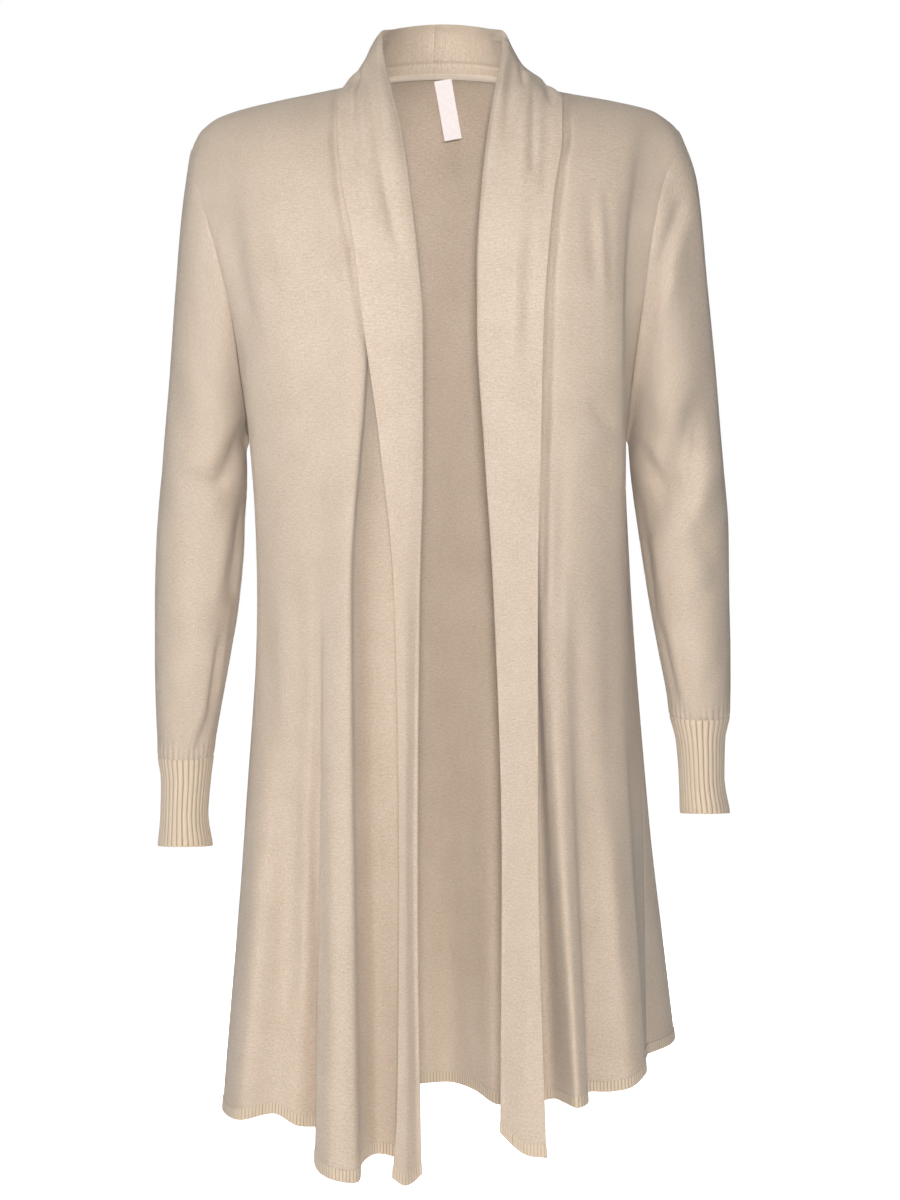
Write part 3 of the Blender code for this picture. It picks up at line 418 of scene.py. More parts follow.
class Band:
    """The shawl band of one side. u is 0 at the seam to the panels, 3 at the roll, 6 at the free edge."""

    def __init__(self, panel, seam_u, rows, pleats, side):
        self.panel, self.seam_u, self.pleats, self.outward = panel, seam_u, pleats, side
        self.side_turn = side * 90.0
        standing = self.standing(STANDS_BEHIND)
        self.rows = np.array([(STANDS_BEHIND, *standing[1], *standing[2], 0.0, 0.0), *rows])

    def back_turn(self, v):
        return BACK_SEAM_TURN + (self.side_turn - BACK_SEAM_TURN) * (v + 1)

    def standing(self, v):
        seam = neck_ring(NECK_SEAM_HALF, self.back_turn(v))
        edge = neck_ring(COLLAR_TOP_HALF, self.back_turn(v))
        return seam, seam + (edge - seam) * STAND_SHARE, edge

    def table_section(self, v):
        if v < STANDS_BEHIND:
            return *self.standing(v), 0.0, 0.0
        if v < 0:
            seam = neck_ring(NECK_SEAM_HALF, self.back_turn(v))
        else:
            seam = self.panel.point(self.seam_u, v)[0, 0]
        row = flowing(self.rows[:, 0], self.rows[:, 1:], v)[0]
        return seam, row[0:3], row[3:6], row[6], row[7]

    def section(self, v):
        seam, roll, edge, bulge, folded = self.table_section(v)
        roll_line = self.table_section(v + ROLL_STEP)[1] - self.table_section(v - ROLL_STEP)[1]
        back_way, face_way = (unit(square_to(way, roll_line)) for way in (seam - roll, edge - roll))
        away = np.array([roll[0] - NECK_X, roll[1] - NECK_Y, 0.0])
        turned_in = unit(back_way + face_way + TINY) * folded + unit(away) * (1 - folded)
        inwards = unit(square_to(turned_in, roll_line))
        over = unit(np.cross(roll_line, inwards)) * self.outward
        turned = np.array([inwards - over, inwards + over]) * ROLL_RADIUS
        plain = np.array([back_way, face_way]) * ROLL_RADIUS
        behind, before = roll + turned * folded + plain * (1 - folded)
        lift = np.array([0.0, -1.0, SWELL_UP * np.clip(1 - v, 0, 1)]) * bulge
        drop = np.array([0.0, 0.0, -FOOT_DROP]) * smooth_step((v - FOOT_FROM) / (3 - FOOT_FROM))
        face = (before + edge) / 2 + lift + drop
        under = (seam + behind) / 2 + lift * SWELL_UNDER
        return np.stack([seam, under, behind, roll, before + drop / 2, face, edge])

    def point(self, u, v):
        u, v = np.atleast_1d(u), np.atleast_1d(v)
        flat = np.stack([round_curve(self.section(one), u) for one in v])
        across = (u - 3) / 3
        for place, width, depth, starts, ends in self.pleats:
            fade_out = smooth_step((ends - v) / (PLEAT_FADES * (ends - starts)))
            fade = smooth_step((v - starts) / PLEAT_SETS_IN) * fade_out
            crest = np.exp(-((across - place) / width) ** 2)
            valley = np.exp(-((across - place - VALLEY_AT * width) / width) ** 2)
            push = depth * fade[:, None] * (crest - VALLEY_SHARE * valley)[None, :]
            turn = np.clip(v, 0, 1) * math.pi / 2
            way = np.stack([np.zeros_like(v), -np.sin(turn), np.cos(turn)], axis=1)
            flat = flat + push[:, :, None] * way[:, None, :]
        return flat


# %% Sleeve surface


class Tube:
    """A sleeve or cuff: rings that turn from the armhole to level ones. v counts the rows."""

    def __init__(self, rows, armhole=None, creases=(), turned_rows=4.0, foot_rise=0.0):
        self.rows, self.creases, self.turned_rows = np.asarray(rows, float), creases, turned_rows
        self.foot_rise = foot_rise
        self.local = None if armhole is None else self.to_local(armhole)

    def frame(self, v):
        row = flowing(np.arange(len(self.rows)), self.rows, v)[0]
        outer_x, outer_z, inner_x, inner_z, middle_y, depth = row
        outer, inner = np.array([outer_x, middle_y, outer_z]), np.array([inner_x, middle_y, inner_z])
        half = np.linalg.norm(outer - inner) / 2
        axis = (outer - inner) / (2 * half)
        return (outer + inner) / 2, axis, np.cross(axis, (0, 1, 0)), half, depth

    def to_local(self, ring):
        centre, axis, through, half, depth = self.frame(0.0)
        off = np.asarray(ring) - centre
        return np.stack([off @ axis / half, off[:, 1] / depth, off @ through], axis=1)

    def ring(self, v, angles):
        centre, axis, through, half, depth = self.frame(v)
        local = np.stack([np.cos(angles), -np.sin(angles), np.zeros_like(angles)], axis=1)
        if self.local is not None:
            steps = np.concatenate([self.local, self.local[:1]])
            at = (angles / (2 * math.pi)) * len(self.local)
            own = np.stack([np.interp(at, np.arange(len(steps)), steps[:, k]) for k in range(3)], axis=1)
            local = local + (own - local) * (1 - smooth_step(v / self.turned_rows))
        found = centre + np.outer(local[:, 0] * half, axis) + np.outer(local[:, 2], through)
        found[:, 1] += local[:, 1] * depth
        found[:, 2] += self.foot_rise * np.sin(angles) * v / (len(self.rows) - 1)
        way = np.outer(np.cos(angles), axis) + np.outer(-np.sin(angles), (0, 1, 0))
        return found - way * self.crease_depth(v, angles)[:, None]

    def crease_depth(self, v, angles):
        along, degrees = v / (len(self.rows) - 1), np.degrees(angles)
        total = np.zeros_like(angles)
        for place, turn, slant, width_round, width_along, depth in self.creases:
            off = degrees - turn - slant * (along - place)
            total += depth * np.exp(-(off / width_round) ** 2 - ((along - place) / width_along) ** 2)
        return total

    def point(self, angles, v):
        return np.stack([self.ring(one, np.asarray(angles)) for one in np.atleast_1d(v)])


# %% [markdown]
# ## Creases
#
# The lines give the big folds. The small ones, where an elbow bends or the cloth drags from an
# underarm, are put in one by one: each row of a table is a soft trough or ridge between two points of the
# front view, in X and Z. The cloth moves along its own normal, so a crease follows the surface.

# %% Grids, normals and creases


def grid_normals(points, closed=False):
    """The cross product of the two ways along a grid, one unit vector for each point."""
    if closed:
        along_u = np.roll(points, -1, axis=1) - np.roll(points, 1, axis=1)
    else:
        along_u = np.gradient(points, axis=1)
    return unit(np.cross(along_u, np.gradient(points, axis=0)))


CREASE_OVERRUN, CREASE_FADE = 0.15, 0.4


def crease_push(points, creases, facing):
    """How far each point moves out. A crease runs from (x, z) to (x, z) with a width and a height, and
    only moves the cloth on its own side, front (-1) or back (1)."""
    total = np.zeros(points.shape[:2])
    x, z = points[:, :, 0], points[:, :, 2]
    for from_x, from_z, to_x, to_z, width, height, side in creases:
        start, along = np.array([from_x, from_z], float), np.array([to_x - from_x, to_z - from_z], float)
        length = np.linalg.norm(along)
        along /= length
        off_x, off_z = x - start[0], z - start[1]
        run = (off_x * along[0] + off_z * along[1]) / length
        off = np.abs(off_x * along[1] - off_z * along[0])
        starts, ends = run + CREASE_OVERRUN, 1 + CREASE_OVERRUN - run
        taper = smooth_step(starts / CREASE_FADE) * smooth_step(ends / CREASE_FADE)
        seen = smooth_step(facing * side * 2.0)
        total += height * np.exp(-((off / width) ** 2)) * taper * seen
    return total


SEAM_SINK, SEAM_WIDTH = 0.8, 2.6


class Cloth:
    """A fine grid on a surface: its points, the way its outer side looks, and its place in the cloth."""

    def __init__(self, surface, u, v, outward, closed=False, creases=(), shown=1.0):
        """shown is 1 for columns that show their outer side, and -1 for those turned over."""
        self.points = surface.point(u, v)
        self.closed, self.outward = closed, outward
        self.set_way()
        if creases:
            seen_way = self.way * np.reshape(shown, (1, -1, 1))
            push = crease_push(self.points, creases, seen_way[:, :, 1])
            self.points = self.points + seen_way * push[:, :, None]
            self.set_way()
        loop = np.concatenate([self.points, self.points[:, :1]], axis=1) if closed else self.points
        across = np.cumsum(np.linalg.norm(np.diff(loop, axis=1), axis=2).mean(axis=0))
        down = np.cumsum(np.linalg.norm(np.diff(self.points, axis=0), axis=2).mean(axis=1))
        self.across = np.concatenate([[0.0], across])
        self.down = np.concatenate([[0.0], down])

    def set_way(self):
        self.way = grid_normals(self.points, self.closed) * self.outward

    def from_edge(self, edge):
        """How far each point lies from an edge, along the cloth."""
        axis = 0 if edge in ("top", "foot") else 1
        step = np.linalg.norm(np.diff(self.points, axis=axis), axis=2)
        zero = np.zeros_like(np.take(step, [0], axis=axis))
        run = np.concatenate([zero, np.cumsum(step, axis=axis)], axis=axis)
        return run if edge in ("top", "first") else np.take(run, [-1], axis=axis) - run

    def lift(self, push):
        self.points = self.points + self.way * push[:, :, None]
        self.set_way()

    def sink(self, edges, depth=SEAM_SINK, width=SEAM_WIDTH):
        """Draws the cloth in along its sewn edges, as the thread does."""
        self.lift(-depth * sum(np.exp(-((self.from_edge(edge) / width) ** 2)) for edge in edges))


# %% [markdown]
# ## From a grid to a piece of cloth
#
# A piece of cloth has two sides and thin edges, so each grid becomes a closed wall: the outer side, the
# inner side and the rim between them. The UV map is the place in the flat cloth, in metres, so the knit
# runs down every piece at its real size.

# %% Wall meshes
CLOTH_THICK, SHARP_FROM = 1.1, math.radians(55)


def in_scene(name, data):
    obj = bpy.data.objects.new(name, data)
    bpy.context.scene.collection.objects.link(obj)
    return obj


def wall_mesh(name, cloth, thick=CLOTH_THICK):
    """A closed wall round the grid. A corner is a row and a column, and the last column may be the first."""
    rows, columns = cloth.points.shape[:2]
    half_wall = cloth.way * (thick / 2)
    sides = (cloth.points + half_wall, cloth.points - half_wall)
    points = np.concatenate([side.reshape(-1, 3) for side in sides])
    to_inner, steps = rows * columns, columns if cloth.closed else columns - 1

    def numbers(corners):
        return corners[..., 0] * columns + corners[..., 1] % columns

    i, j = (grid.ravel() for grid in np.meshgrid(np.arange(rows - 1), np.arange(steps), indexing="ij"))
    around = ((i, j), (i, j + 1), (i + 1, j + 1), (i + 1, j))
    outside = np.stack([np.stack(corner, 1) for corner in around], 1)
    inside = outside[:, [0, 3, 2, 1]]
    corners, faces = [outside, inside], [numbers(outside), numbers(inside) + to_inner]
    k, down = np.arange(steps), np.arange(rows - 1)
    rims = [((row, k + 1), (row, k), row == 0) for row in (0, rows - 1)]
    if not cloth.closed:
        rims += [((down, column), (down + 1, column), column == 0) for column in (0, columns - 1)]
    for start, end, forwards in rims:
        start, end = (np.stack(np.broadcast_arrays(*corner), 1) for corner in (start, end))
        rim, order = np.stack([start, end, end, start], 1), slice(None, None, 1 if forwards else -1)
        corners.append(rim[:, order])
        faces.append((numbers(rim) + (0, 0, to_inner, to_inner))[:, order])
    faces, corners = np.concatenate(faces), np.concatenate(corners)
    if cloth.outward < 0:
        faces, corners = faces[:, ::-1], corners[:, ::-1]
    mesh = bpy.data.meshes.new(name)
    mesh.from_pydata((points * MM).tolist(), [], faces.tolist())
    flat = corners.reshape(-1, 2)
    uv = np.stack([cloth.across[flat[:, 1]], -cloth.down[flat[:, 0]]], 1) * MM
    mesh.uv_layers.new(name="flat_cloth").data.foreach_set("uv", uv.ravel())
    mesh.shade_smooth()
    mesh.set_sharp_from_angle(angle=SHARP_FROM)
    return mesh


# %% [markdown]
# ## Rows and columns
#
# Two pieces that share a seam need points at the same places along it, or the seam gapes. So every
# body piece uses one set of rows, from the shoulder to the hem.

# %% Shared rows
ROWS_PER_PART, COLUMNS_PER_LINE, ROUND_PER_ROW = 6, 8, 6
hem_seam = 3 - HEM_DEPTH / WAIST_TO_HEM


def finer(values, times):
    at = np.arange((len(values) - 1) * times + 1) / times
    return np.interp(at, np.arange(len(values)), values)


def across(first, last, each):
    return np.linspace(first, last, int(round((last - first) * each)) + 1)


body_rows = finer(steps_between((0, 1, UNDERARM_V, 2, hem_seam), BODY_PARTS), ROWS_PER_PART)
hem_rows = np.linspace(hem_seam, 3.0, 7)
print(len(body_rows), "rows in a body piece")

# %% The surfaces of this cardigan
right = Panel(FRONT_RIGHT, (SHOULDER_RIGHT,), [(True, ARMHOLES["front_right"], SIDE_RIGHT)])
left = Panel(FRONT_LEFT[::-1], (SHOULDER_LEFT,), [(False, ARMHOLES["front_left"], SIDE_LEFT)])
back = Panel(BACK, (SHOULDER_RIGHT, SHOULDER_LEFT),
             [(True, ARMHOLES["back_right"], SIDE_RIGHT), (False, ARMHOLES["back_left"], SIDE_LEFT)], neck=5)
shawl_right = Band(right, right.count - 1, BAND_RIGHT, PLEATS_RIGHT, -1.0)
shawl_left = Band(left, 0, BAND_LEFT, PLEATS_LEFT, 1.0)


BELOW_THE_HEM = -900.0


def armhole_ring(front, behind):
    """Points round the armhole: down the front, then up the back."""
    hole_rows = body_rows[:ARMHOLE_ROWS * ROWS_PER_PART + 1]
    below = (front[-1], (front[-1][0], front[-1][1], BELOW_THE_HEM))
    down, up = side_line(hole_rows, front, below), side_line(hole_rows, behind, below)[::-1]
    return np.concatenate([down[:-1], up[:-1]])


# %% [markdown]
# ## Small creases
#
# These are read off the cloth one by one. Each is a line from a point to a point in the front view, with
# how wide and how high it is. A trough has a height below zero. The back has creases of the same kind,
# where cloth drags from the underarms and rests on the hips.

# %% Crease tables
# Columns: x, z of one end, x, z of the other, width, height, side (-1 front, 1 back).
CREASES_FRONT_RIGHT = (
    (-84, 2, -86, -50, 4.0, -3.2, -1),
    (-87, -30, -80, -92, 4.0, -3.2, -1),
    (-82, -76, -68, -150, 4.0, -3.2, -1),
    (-72, -124, -58, -215, 4.0, -3.0, -1),
    (-172, -120, -150, -210, 7, -1.6, -1),
    (-184, -110, -166, -200, 6, 1.3, -1),
    (-150, -100, -132, -190, 8, -1.2, -1),
    (-158, -300, -120, -262, 8, -1.6, -1),
    (-158, -316, -122, -330, 9, 1.4, -1),
    (-150, -400, -134, -600, 9, -2.4, -1),
    (-126, -580, -128, -790, 13, -4.5, -1),
    (-150, -560, -158, -800, 9, 2.0, -1),
    (-84, -300, -90, -520, 6, -1.0, -1),
    (-104, -560, -98, -800, 8, -2.6, -1),
)
CREASES_FRONT_LEFT = (
    (104, 0, 107, -50, 4.0, -3.2, -1),
    (108, -30, 99, -94, 4.0, -3.2, -1),
    (101, -76, 92, -160, 4.0, -3.2, -1),
    (94, -130, 88, -300, 4.0, -2.8, -1),
    (89, -260, 87, -440, 4.0, -2.6, -1),
    (126, -84, 131, -166, 7, -1.6, -1),
    (140, -84, 144, -166, 6, -1.4, -1),
    (133, -90, 138, -170, 5, 1.1, -1),
    (155, -84, 152, -166, 6, -1.2, -1),
    (158, -300, 128, -258, 8, -1.6, -1),
    (160, -318, 130, -336, 9, 1.3, -1),
    (148, -400, 146, -640, 10, -3.0, -1),
    (104, -300, 98, -500, 6, -1.0, -1),
    (128, -560, 138, -770, 10, -3.0, -1),
    (156, -580, 166, -750, 10, -2.4, -1),
)
CREASES_BACK = (
    (-160, -290, -100, -240, 11, -2.0, 1),
    (-158, -310, -96, -300, 11, 1.6, 1),
    (160, -290, 104, -236, 11, -2.0, 1),
    (158, -312, 100, -304, 11, 1.6, 1),
    (-70, -380, 60, -396, 14, -2.2, 1),
    (-60, -420, 76, -430, 13, 2.0, 1),
    (-40, -452, 66, -462, 13, -1.6, 1),
    (-30, -60, -60, -170, 12, 1.3, 1),
    (40, -60, 66, -176, 12, 1.2, 1),
    (-110, -520, -126, -800, 12, -1.8, 1),
    (60, -540, 66, -820, 12, -1.6, 1),
)
CREASES_BAND_RIGHT = (
    (-67, 24, -68, -34, 2.2, -4.4, -1),
    (-61.5, 20, -62.5, -30, 2.6, 1.6, -1),
    (-68, -34, -64, -66, 3.0, -2.4, -1),
    (-54, 10, -48, -62, 4.0, -2.6, -1),
    (-46, -62, -33, -128, 5, -3.0, -1),
    (-60, -60, -50, -150, 6, 1.3, -1),
    (-76, -10, -78, -80, 4.5, -1.2, -1),
    (-30, -240, -28, -420, 6, -0.9, -1),
    (-24, -560, -26, -800, 6, -0.9, -1),
)
CREASES_BAND_LEFT = (
    (71, 22, 71, 4, 2.4, -3.6, -1),
    (90, 10, 94, -10, 2.4, -3.6, -1),
    (62, 20, 56, -50, 4, -2.4, -1),
    (80, 8, 78, -70, 4, -2.6, -1),
    (70, -6, 66, -80, 5, 1.3, -1),
    (90, -20, 88, -90, 5, -1.4, -1),
    (64, -130, 64, -215, 6, 1.4, -1),
    (78, -90, 72, -230, 6, -1.2, -1),
    (56, -300, 62, -480, 7, -1.0, -1),
    (70, -600, 66, -820, 7, -1.1, -1),
)
CREASES_SLEEVE_RIGHT = (
    (-222, -326, -178, -330, 7, -3.4, -1),
    (-228, -346, -182, -346, 10, 2.4, -1),
    (-161, -280, -183, -331, 6, -4.6, -1),
    (-172, -268, -194, -318, 7, 2.0, -1),
    (-165, -344, -178, -429, 6, -4.4, -1),
    (-176, -350, -190, -436, 7, 2.4, -1),
    (-172, -430, -181, -500, 3.2, -1.9, -1),
    (-178, -424, -187, -496, 3.2, 1.3, -1),
    (-185, -462, -195, -532, 3.6, -3.8, -1),
    (-191, -468, -202, -536, 4.5, 2.0, -1),
    (-195, -530, -206, -561, 4, -2.4, -1),
    (-182, -512, -190, -556, 3.0, -2.0, -1),
    (-228, -236, -204, -300, 12, -2.4, -1),
    (-240, -440, -214, -484, 9, -1.9, -1),
    (-234, -500, -212, -540, 8, -1.6, -1),
    (-232, -330, -186, -346, 8, -3.0, 1),
    (-226, -300, -184, -300, 9, 2.2, 1),
    (-236, -420, -196, -452, 9, -2.6, 1),
)
CREASES_SLEEVE_LEFT = (
    (206, -92, 184, -150, 7, -4.6, -1),
    (186, -150, 178, -205, 6, -3.4, -1),
    (213, -100, 194, -150, 7, 2.0, -1),
    (199, -153, 185, -190, 5, 2.2, -1),
    (228, -250, 180, -366, 15, -9.0, -1),
    (240, -300, 206, -376, 11, 4.0, -1),
    (226, -280, 211, -338, 5, -2.4, -1),
    (170, -296, 192, -346, 6, -3.0, -1),
    (176, -376, 184, -450, 5.5, -4.0, -1),
    (182, -372, 192, -450, 5.5, 2.0, -1),
    (188, -450, 204, -520, 4.0, -2.6, -1),
    (196, -446, 212, -520, 5.0, 1.8, -1),
    (246, -400, 214, -440, 9, -2.2, -1),
    (246, -470, 224, -510, 8, -1.8, -1),
    (236, -330, 190, -346, 8, -3.0, 1),
    (232, -298, 190, -300, 9, 2.2, 1),
    (244, -410, 204, -446, 9, -2.6, 1),
)

# %% [markdown]
# ## Ribs and stitches
#
# A rib is the same step again and again, and so is a stitch, so a Geometry Nodes tree makes each of
# them from one description. The rib tree lifts the outer side in rounded ridges with narrow grooves,
# and keeps the depth of the groove as an attribute: the rib material paints shade into the grooves from it.

# %% Node helpers
GEOMETRY, MATERIAL = "NodeSocketGeometry", "NodeSocketMaterial"
NUMBER, VECTOR = "NodeSocketFloat", "NodeSocketVector"


def fill(tree, node, sockets):
    """Gives sockets, by name or number, a value or a link from another node's output."""
    for name, value in sockets.items():
        if isinstance(value, bpy.types.NodeSocket):
            tree.links.new(value, node.inputs[name])
        else:
            node.inputs[name].default_value = value


def add_node(tree, kind, sockets=None, **settings):
    node = tree.nodes.new(kind)
    for name, value in settings.items():
        setattr(node, name, value)
    fill(tree, node, sockets or {})
    return node


def new_group(kind, name, takes, gives):
    """A node group. A socket is named with its kind, or with its first value where it is a number."""
    tree = bpy.data.node_groups.new(name, kind)
    for in_out, sockets in (("INPUT", takes), ("OUTPUT", gives)):
        for title, value in sockets.items():
            starts = isinstance(value, float)
            socket = tree.interface.new_socket(title, in_out=in_out, socket_type=NUMBER if starts else value)
            if starts:
                socket.default_value = value
    return tree, tree.nodes.new("NodeGroupInput").outputs, tree.nodes.new("NodeGroupOutput")


def math_node(tree, operation, *values):
    return add_node(tree, "ShaderNodeMath", dict(enumerate(values)), operation=operation).outputs[0]


def half_waves(tree, value, times):
    turned = math_node(tree, "SINE", math_node(tree, "MULTIPLY", value, times))
    return math_node(tree, "ABSOLUTE", turned)


def named(tree, name, kind="FLOAT"):
    found = add_node(tree, "GeometryNodeInputNamedAttribute", {"Name": name}, data_type=kind)
    return found.outputs["Attribute"]


def give_material(tree, made, given, result):
    painted = add_node(tree, "GeometryNodeSetMaterial", {
        "Geometry": made.outputs[0], "Material": given["Material"]})
    fill(tree, result, {"Geometry": painted.outputs[0]})
    return tree


# %% The rib tree


def make_rib_tree():
    tree, given, result = new_group("GeometryNodeTree", "knit ribs", {
        "Geometry": GEOMETRY, "Pitch": NUMBER, "Height": NUMBER, "Material": MATERIAL},
        {"Geometry": GEOMETRY})
    turn = math_node(tree, "DIVIDE", named(tree, "place_across"), given["Pitch"])
    ridge = math_node(tree, "POWER", half_waves(tree, turn, math.pi), 0.6)
    height = math_node(tree, "MULTIPLY", ridge, given["Height"])
    lift = math_node(tree, "MULTIPLY", height, named(tree, "outside"))
    normal = add_node(tree, "GeometryNodeInputNormal").outputs[0]
    offset = add_node(tree, "ShaderNodeVectorMath", {0: normal, "Scale": lift}, operation="SCALE")
    kept = add_node(tree, "GeometryNodeStoreNamedAttribute", {
        "Geometry": given["Geometry"], "Name": "ridge", "Value": ridge}, data_type="FLOAT", domain="POINT")
    moved = add_node(tree, "GeometryNodeSetPosition", {
        "Geometry": kept.outputs[0], "Offset": offset.outputs[0]})
    return give_material(tree, moved, given, result)


# %% The stitch tree


def make_stitch_tree():
    tree, given, result = new_group("GeometryNodeTree", "stitches", {
        "Geometry": GEOMETRY, "Spacing": NUMBER, "Length": NUMBER, "Thickness": NUMBER, "Slant": NUMBER,
        "Material": MATERIAL}, {"Geometry": GEOMETRY})
    curve = add_node(tree, "GeometryNodeMeshToCurve", {0: given["Geometry"]})
    places = add_node(tree, "GeometryNodeResampleCurve", {
        "Curve": curve.outputs[0], "Length": given["Spacing"]}, mode="LENGTH")
    ball = add_node(tree, "GeometryNodeMeshUVSphere", {"Segments": 8, "Rings": 6, "Radius": 0.5})
    size = add_node(tree, "ShaderNodeCombineXYZ", {
        "X": given["Length"], "Y": given["Thickness"], "Z": given["Thickness"]})
    shape = add_node(tree, "GeometryNodeTransform", {
        "Geometry": ball.outputs["Mesh"], "Scale": size.outputs[0]})
    tangent = add_node(tree, "GeometryNodeInputTangent")
    along = add_node(tree, "FunctionNodeAlignRotationToVector", {"Vector": tangent.outputs[0]}, axis="X")
    face = named(tree, "face", "FLOAT_VECTOR")
    upright = add_node(tree, "FunctionNodeAlignRotationToVector", {
        "Rotation": along.outputs[0], "Vector": face}, axis="Z", pivot_axis="X")
    slant = add_node(tree, "ShaderNodeCombineXYZ", {"Z": given["Slant"]})
    turn = add_node(tree, "FunctionNodeEulerToRotation", {0: slant.outputs[0]})
    lean = add_node(tree, "FunctionNodeRotateRotation", {
        "Rotation": upright.outputs[0], "Rotate By": turn.outputs[0]}, rotation_space="LOCAL")
    placed = add_node(tree, "GeometryNodeInstanceOnPoints", {
        "Points": places.outputs[0], "Instance": shape.outputs[0], "Rotation": lean.outputs[0]})
    real = add_node(tree, "GeometryNodeRealizeInstances", {0: placed.outputs[0]})
    return give_material(tree, real, given, result)


def run_tree(obj, tree, **values):
    """Runs a tree on an object once, and keeps the mesh that it makes."""
    modifier = obj.modifiers.new(tree.name, "NODES")
    modifier.node_group = tree
    for item in tree.interface.items_tree:
        if item.item_type == "SOCKET" and item.in_out == "INPUT" and item.name in values:
            modifier[item.identifier] = values[item.name]
    obj.update_tag()
    bpy.context.view_layer.update()
    made = obj.evaluated_get(bpy.context.evaluated_depsgraph_get())
    mesh = bpy.data.meshes.new_from_object(made)
    obj.modifiers.remove(modifier)
    obj.data = mesh
    return mesh


rib_tree, stitch_tree = make_rib_tree(), make_stitch_tree()

# %% [markdown]
# ## Materials
#
# The cloth is a fine jersey: columns of small V stitches. From a few steps away the V's melt into a
# dry grain, and what shows is the heather of the yarn, in soft patches and streaks along the courses.
# One group makes the stitches, another the heather, and each material puts them together.

# %% Colour helpers


def noise(tree, vector, scale, detail=2.0, rough=0.5):
    return add_node(tree, "ShaderNodeTexNoise", {
        "Vector": vector, "Scale": scale, "Detail": detail, "Roughness": rough}).outputs[0]


def stretched(tree, vector, scale):
    return add_node(tree, "ShaderNodeMapping", {"Vector": vector, "Scale": scale}).outputs[0]


def mixed(tree, factor, first, second):
    return add_node(tree, "ShaderNodeMix", {0: factor, 6: first, 7: second}, data_type="RGBA").outputs[2]


def ranged(tree, value, *limits):
    """A value carried from one range to another: low, high, new low, new high."""
    return add_node(tree, "ShaderNodeMapRange", dict(enumerate((value, *limits)))).outputs[0]


def grouped(tree, group, **sockets):
    return add_node(tree, "ShaderNodeGroup", sockets, node_tree=group).outputs


def bump(tree, height, distance, strength, **more):
    return add_node(tree, "ShaderNodeBump", {
        "Height": height, "Distance": distance, "Strength": strength, **more}).outputs[0]


# %% Jersey stitches and heather


def make_jersey():
    """The height of plain knit: two legs of a V in each column."""
    group, given, result = new_group("ShaderNodeTree", "jersey stitches", {
        "Place": VECTOR, "Wale": 0.0013, "Course": 0.0010}, {"Height": NUMBER})
    parts = add_node(group, "ShaderNodeSeparateXYZ", {0: given["Place"]}).outputs
    column = math_node(group, "FRACT", math_node(group, "DIVIDE", parts["X"], given["Wale"]))
    off = math_node(group, "ABSOLUTE", math_node(group, "SUBTRACT", column, 0.5))
    row = math_node(group, "DIVIDE", parts["Y"], given["Course"])
    slanted = math_node(group, "ADD", row, math_node(group, "MULTIPLY", off, 1.3))
    leg = math_node(group, "POWER", half_waves(group, slanted, math.pi), 0.6)
    valley = math_node(group, "MAXIMUM", half_waves(group, off, 2 * math.pi), 0.01)
    height = math_node(group, "MULTIPLY", leg, math_node(group, "POWER", valley, 0.4))
    fill(group, result, {"Height": height})
    return group


def make_heather():
    """The yarn's shade: fine flecks, streaks along the courses and wide soft patches."""
    group, given, result = new_group("ShaderNodeTree", "heather yarn", {
        "Place": VECTOR, "Amount": 1.0}, {"Shade": NUMBER})
    place = given["Place"]
    flecks = noise(group, place, 620.0, 3.0, 0.75)
    streaks = noise(group, stretched(group, place, (170.0, 900.0, 170.0)), 1.0, 2.0, 0.6)
    patches = noise(group, place, 26.0, 3.0, 0.6)
    total = math_node(group, "MULTIPLY", flecks, 0.60)
    for layer, share in ((streaks, 0.26), (patches, 0.14)):
        total = math_node(group, "ADD", total, math_node(group, "MULTIPLY", layer, share))
    centred = math_node(group, "SUBTRACT", total, 0.5)
    shade = math_node(group, "ADD", math_node(group, "MULTIPLY", centred, given["Amount"]), 0.5)
    fill(group, result, {"Shade": shade})
    return group


jersey, heather = make_jersey(), make_heather()

# %% The materials
SAND_DARK, SAND_LIGHT = (0.400, 0.304, 0.212, 1.0), (0.645, 0.533, 0.438, 1.0)
# The darker rib colour is painted shade for the grooves between the ribs, and the darker heather tone on the
# crests.
RIB_GROOVE_SHADE_AND_HEATHER, RIB_LIGHT = (0.300, 0.215, 0.135, 1.0), (0.640, 0.520, 0.400, 1.0)
THREAD_DARK, THREAD_LIGHT = (0.62, 0.52, 0.42, 1.0), (0.80, 0.71, 0.60, 1.0)
LABEL_DARK, LABEL_LIGHT = (0.80, 0.70, 0.68, 1.0), (0.90, 0.82, 0.80, 1.0)
SOFT_FIBRE = {
    "Sheen Weight": 0.35, "Sheen Roughness": 0.45, "Sheen Tint": (1.0, 0.95, 0.88, 1.0),
    "Subsurface Weight": 0.40, "Subsurface Radius": (1.0, 0.90, 0.80), "Subsurface Scale": 0.004,
    "Specular IOR Level": 0.65,
}


def new_material(name):
    material = bpy.data.materials.new(name)
    material.use_nodes = True
    tree = material.node_tree
    return material, tree, tree.nodes["Principled BSDF"]


def cloth_place(tree):
    return add_node(tree, "ShaderNodeUVMap", uv_map="flat_cloth").outputs[0]


def make_knit():
    material, tree, shader = new_material("fine jersey knit")
    place = cloth_place(tree)
    shade = grouped(tree, heather, Place=place, Amount=2.6)["Shade"]
    height = grouped(tree, jersey, Place=place)["Height"]
    slubs = noise(tree, stretched(tree, place, (260.0, 520.0, 260.0)), 1.0, 3.0, 0.65)
    uneven = bump(tree, slubs, 0.0007, 0.6)
    fill(tree, shader, {
        "Base Color": mixed(tree, shade, SAND_DARK, SAND_LIGHT),
        "Roughness": ranged(tree, shade, 0.2, 0.8, 0.62, 0.48),
        "Normal": bump(tree, height, 0.00022, 0.7, Normal=uneven), **SOFT_FIBRE})
    return material


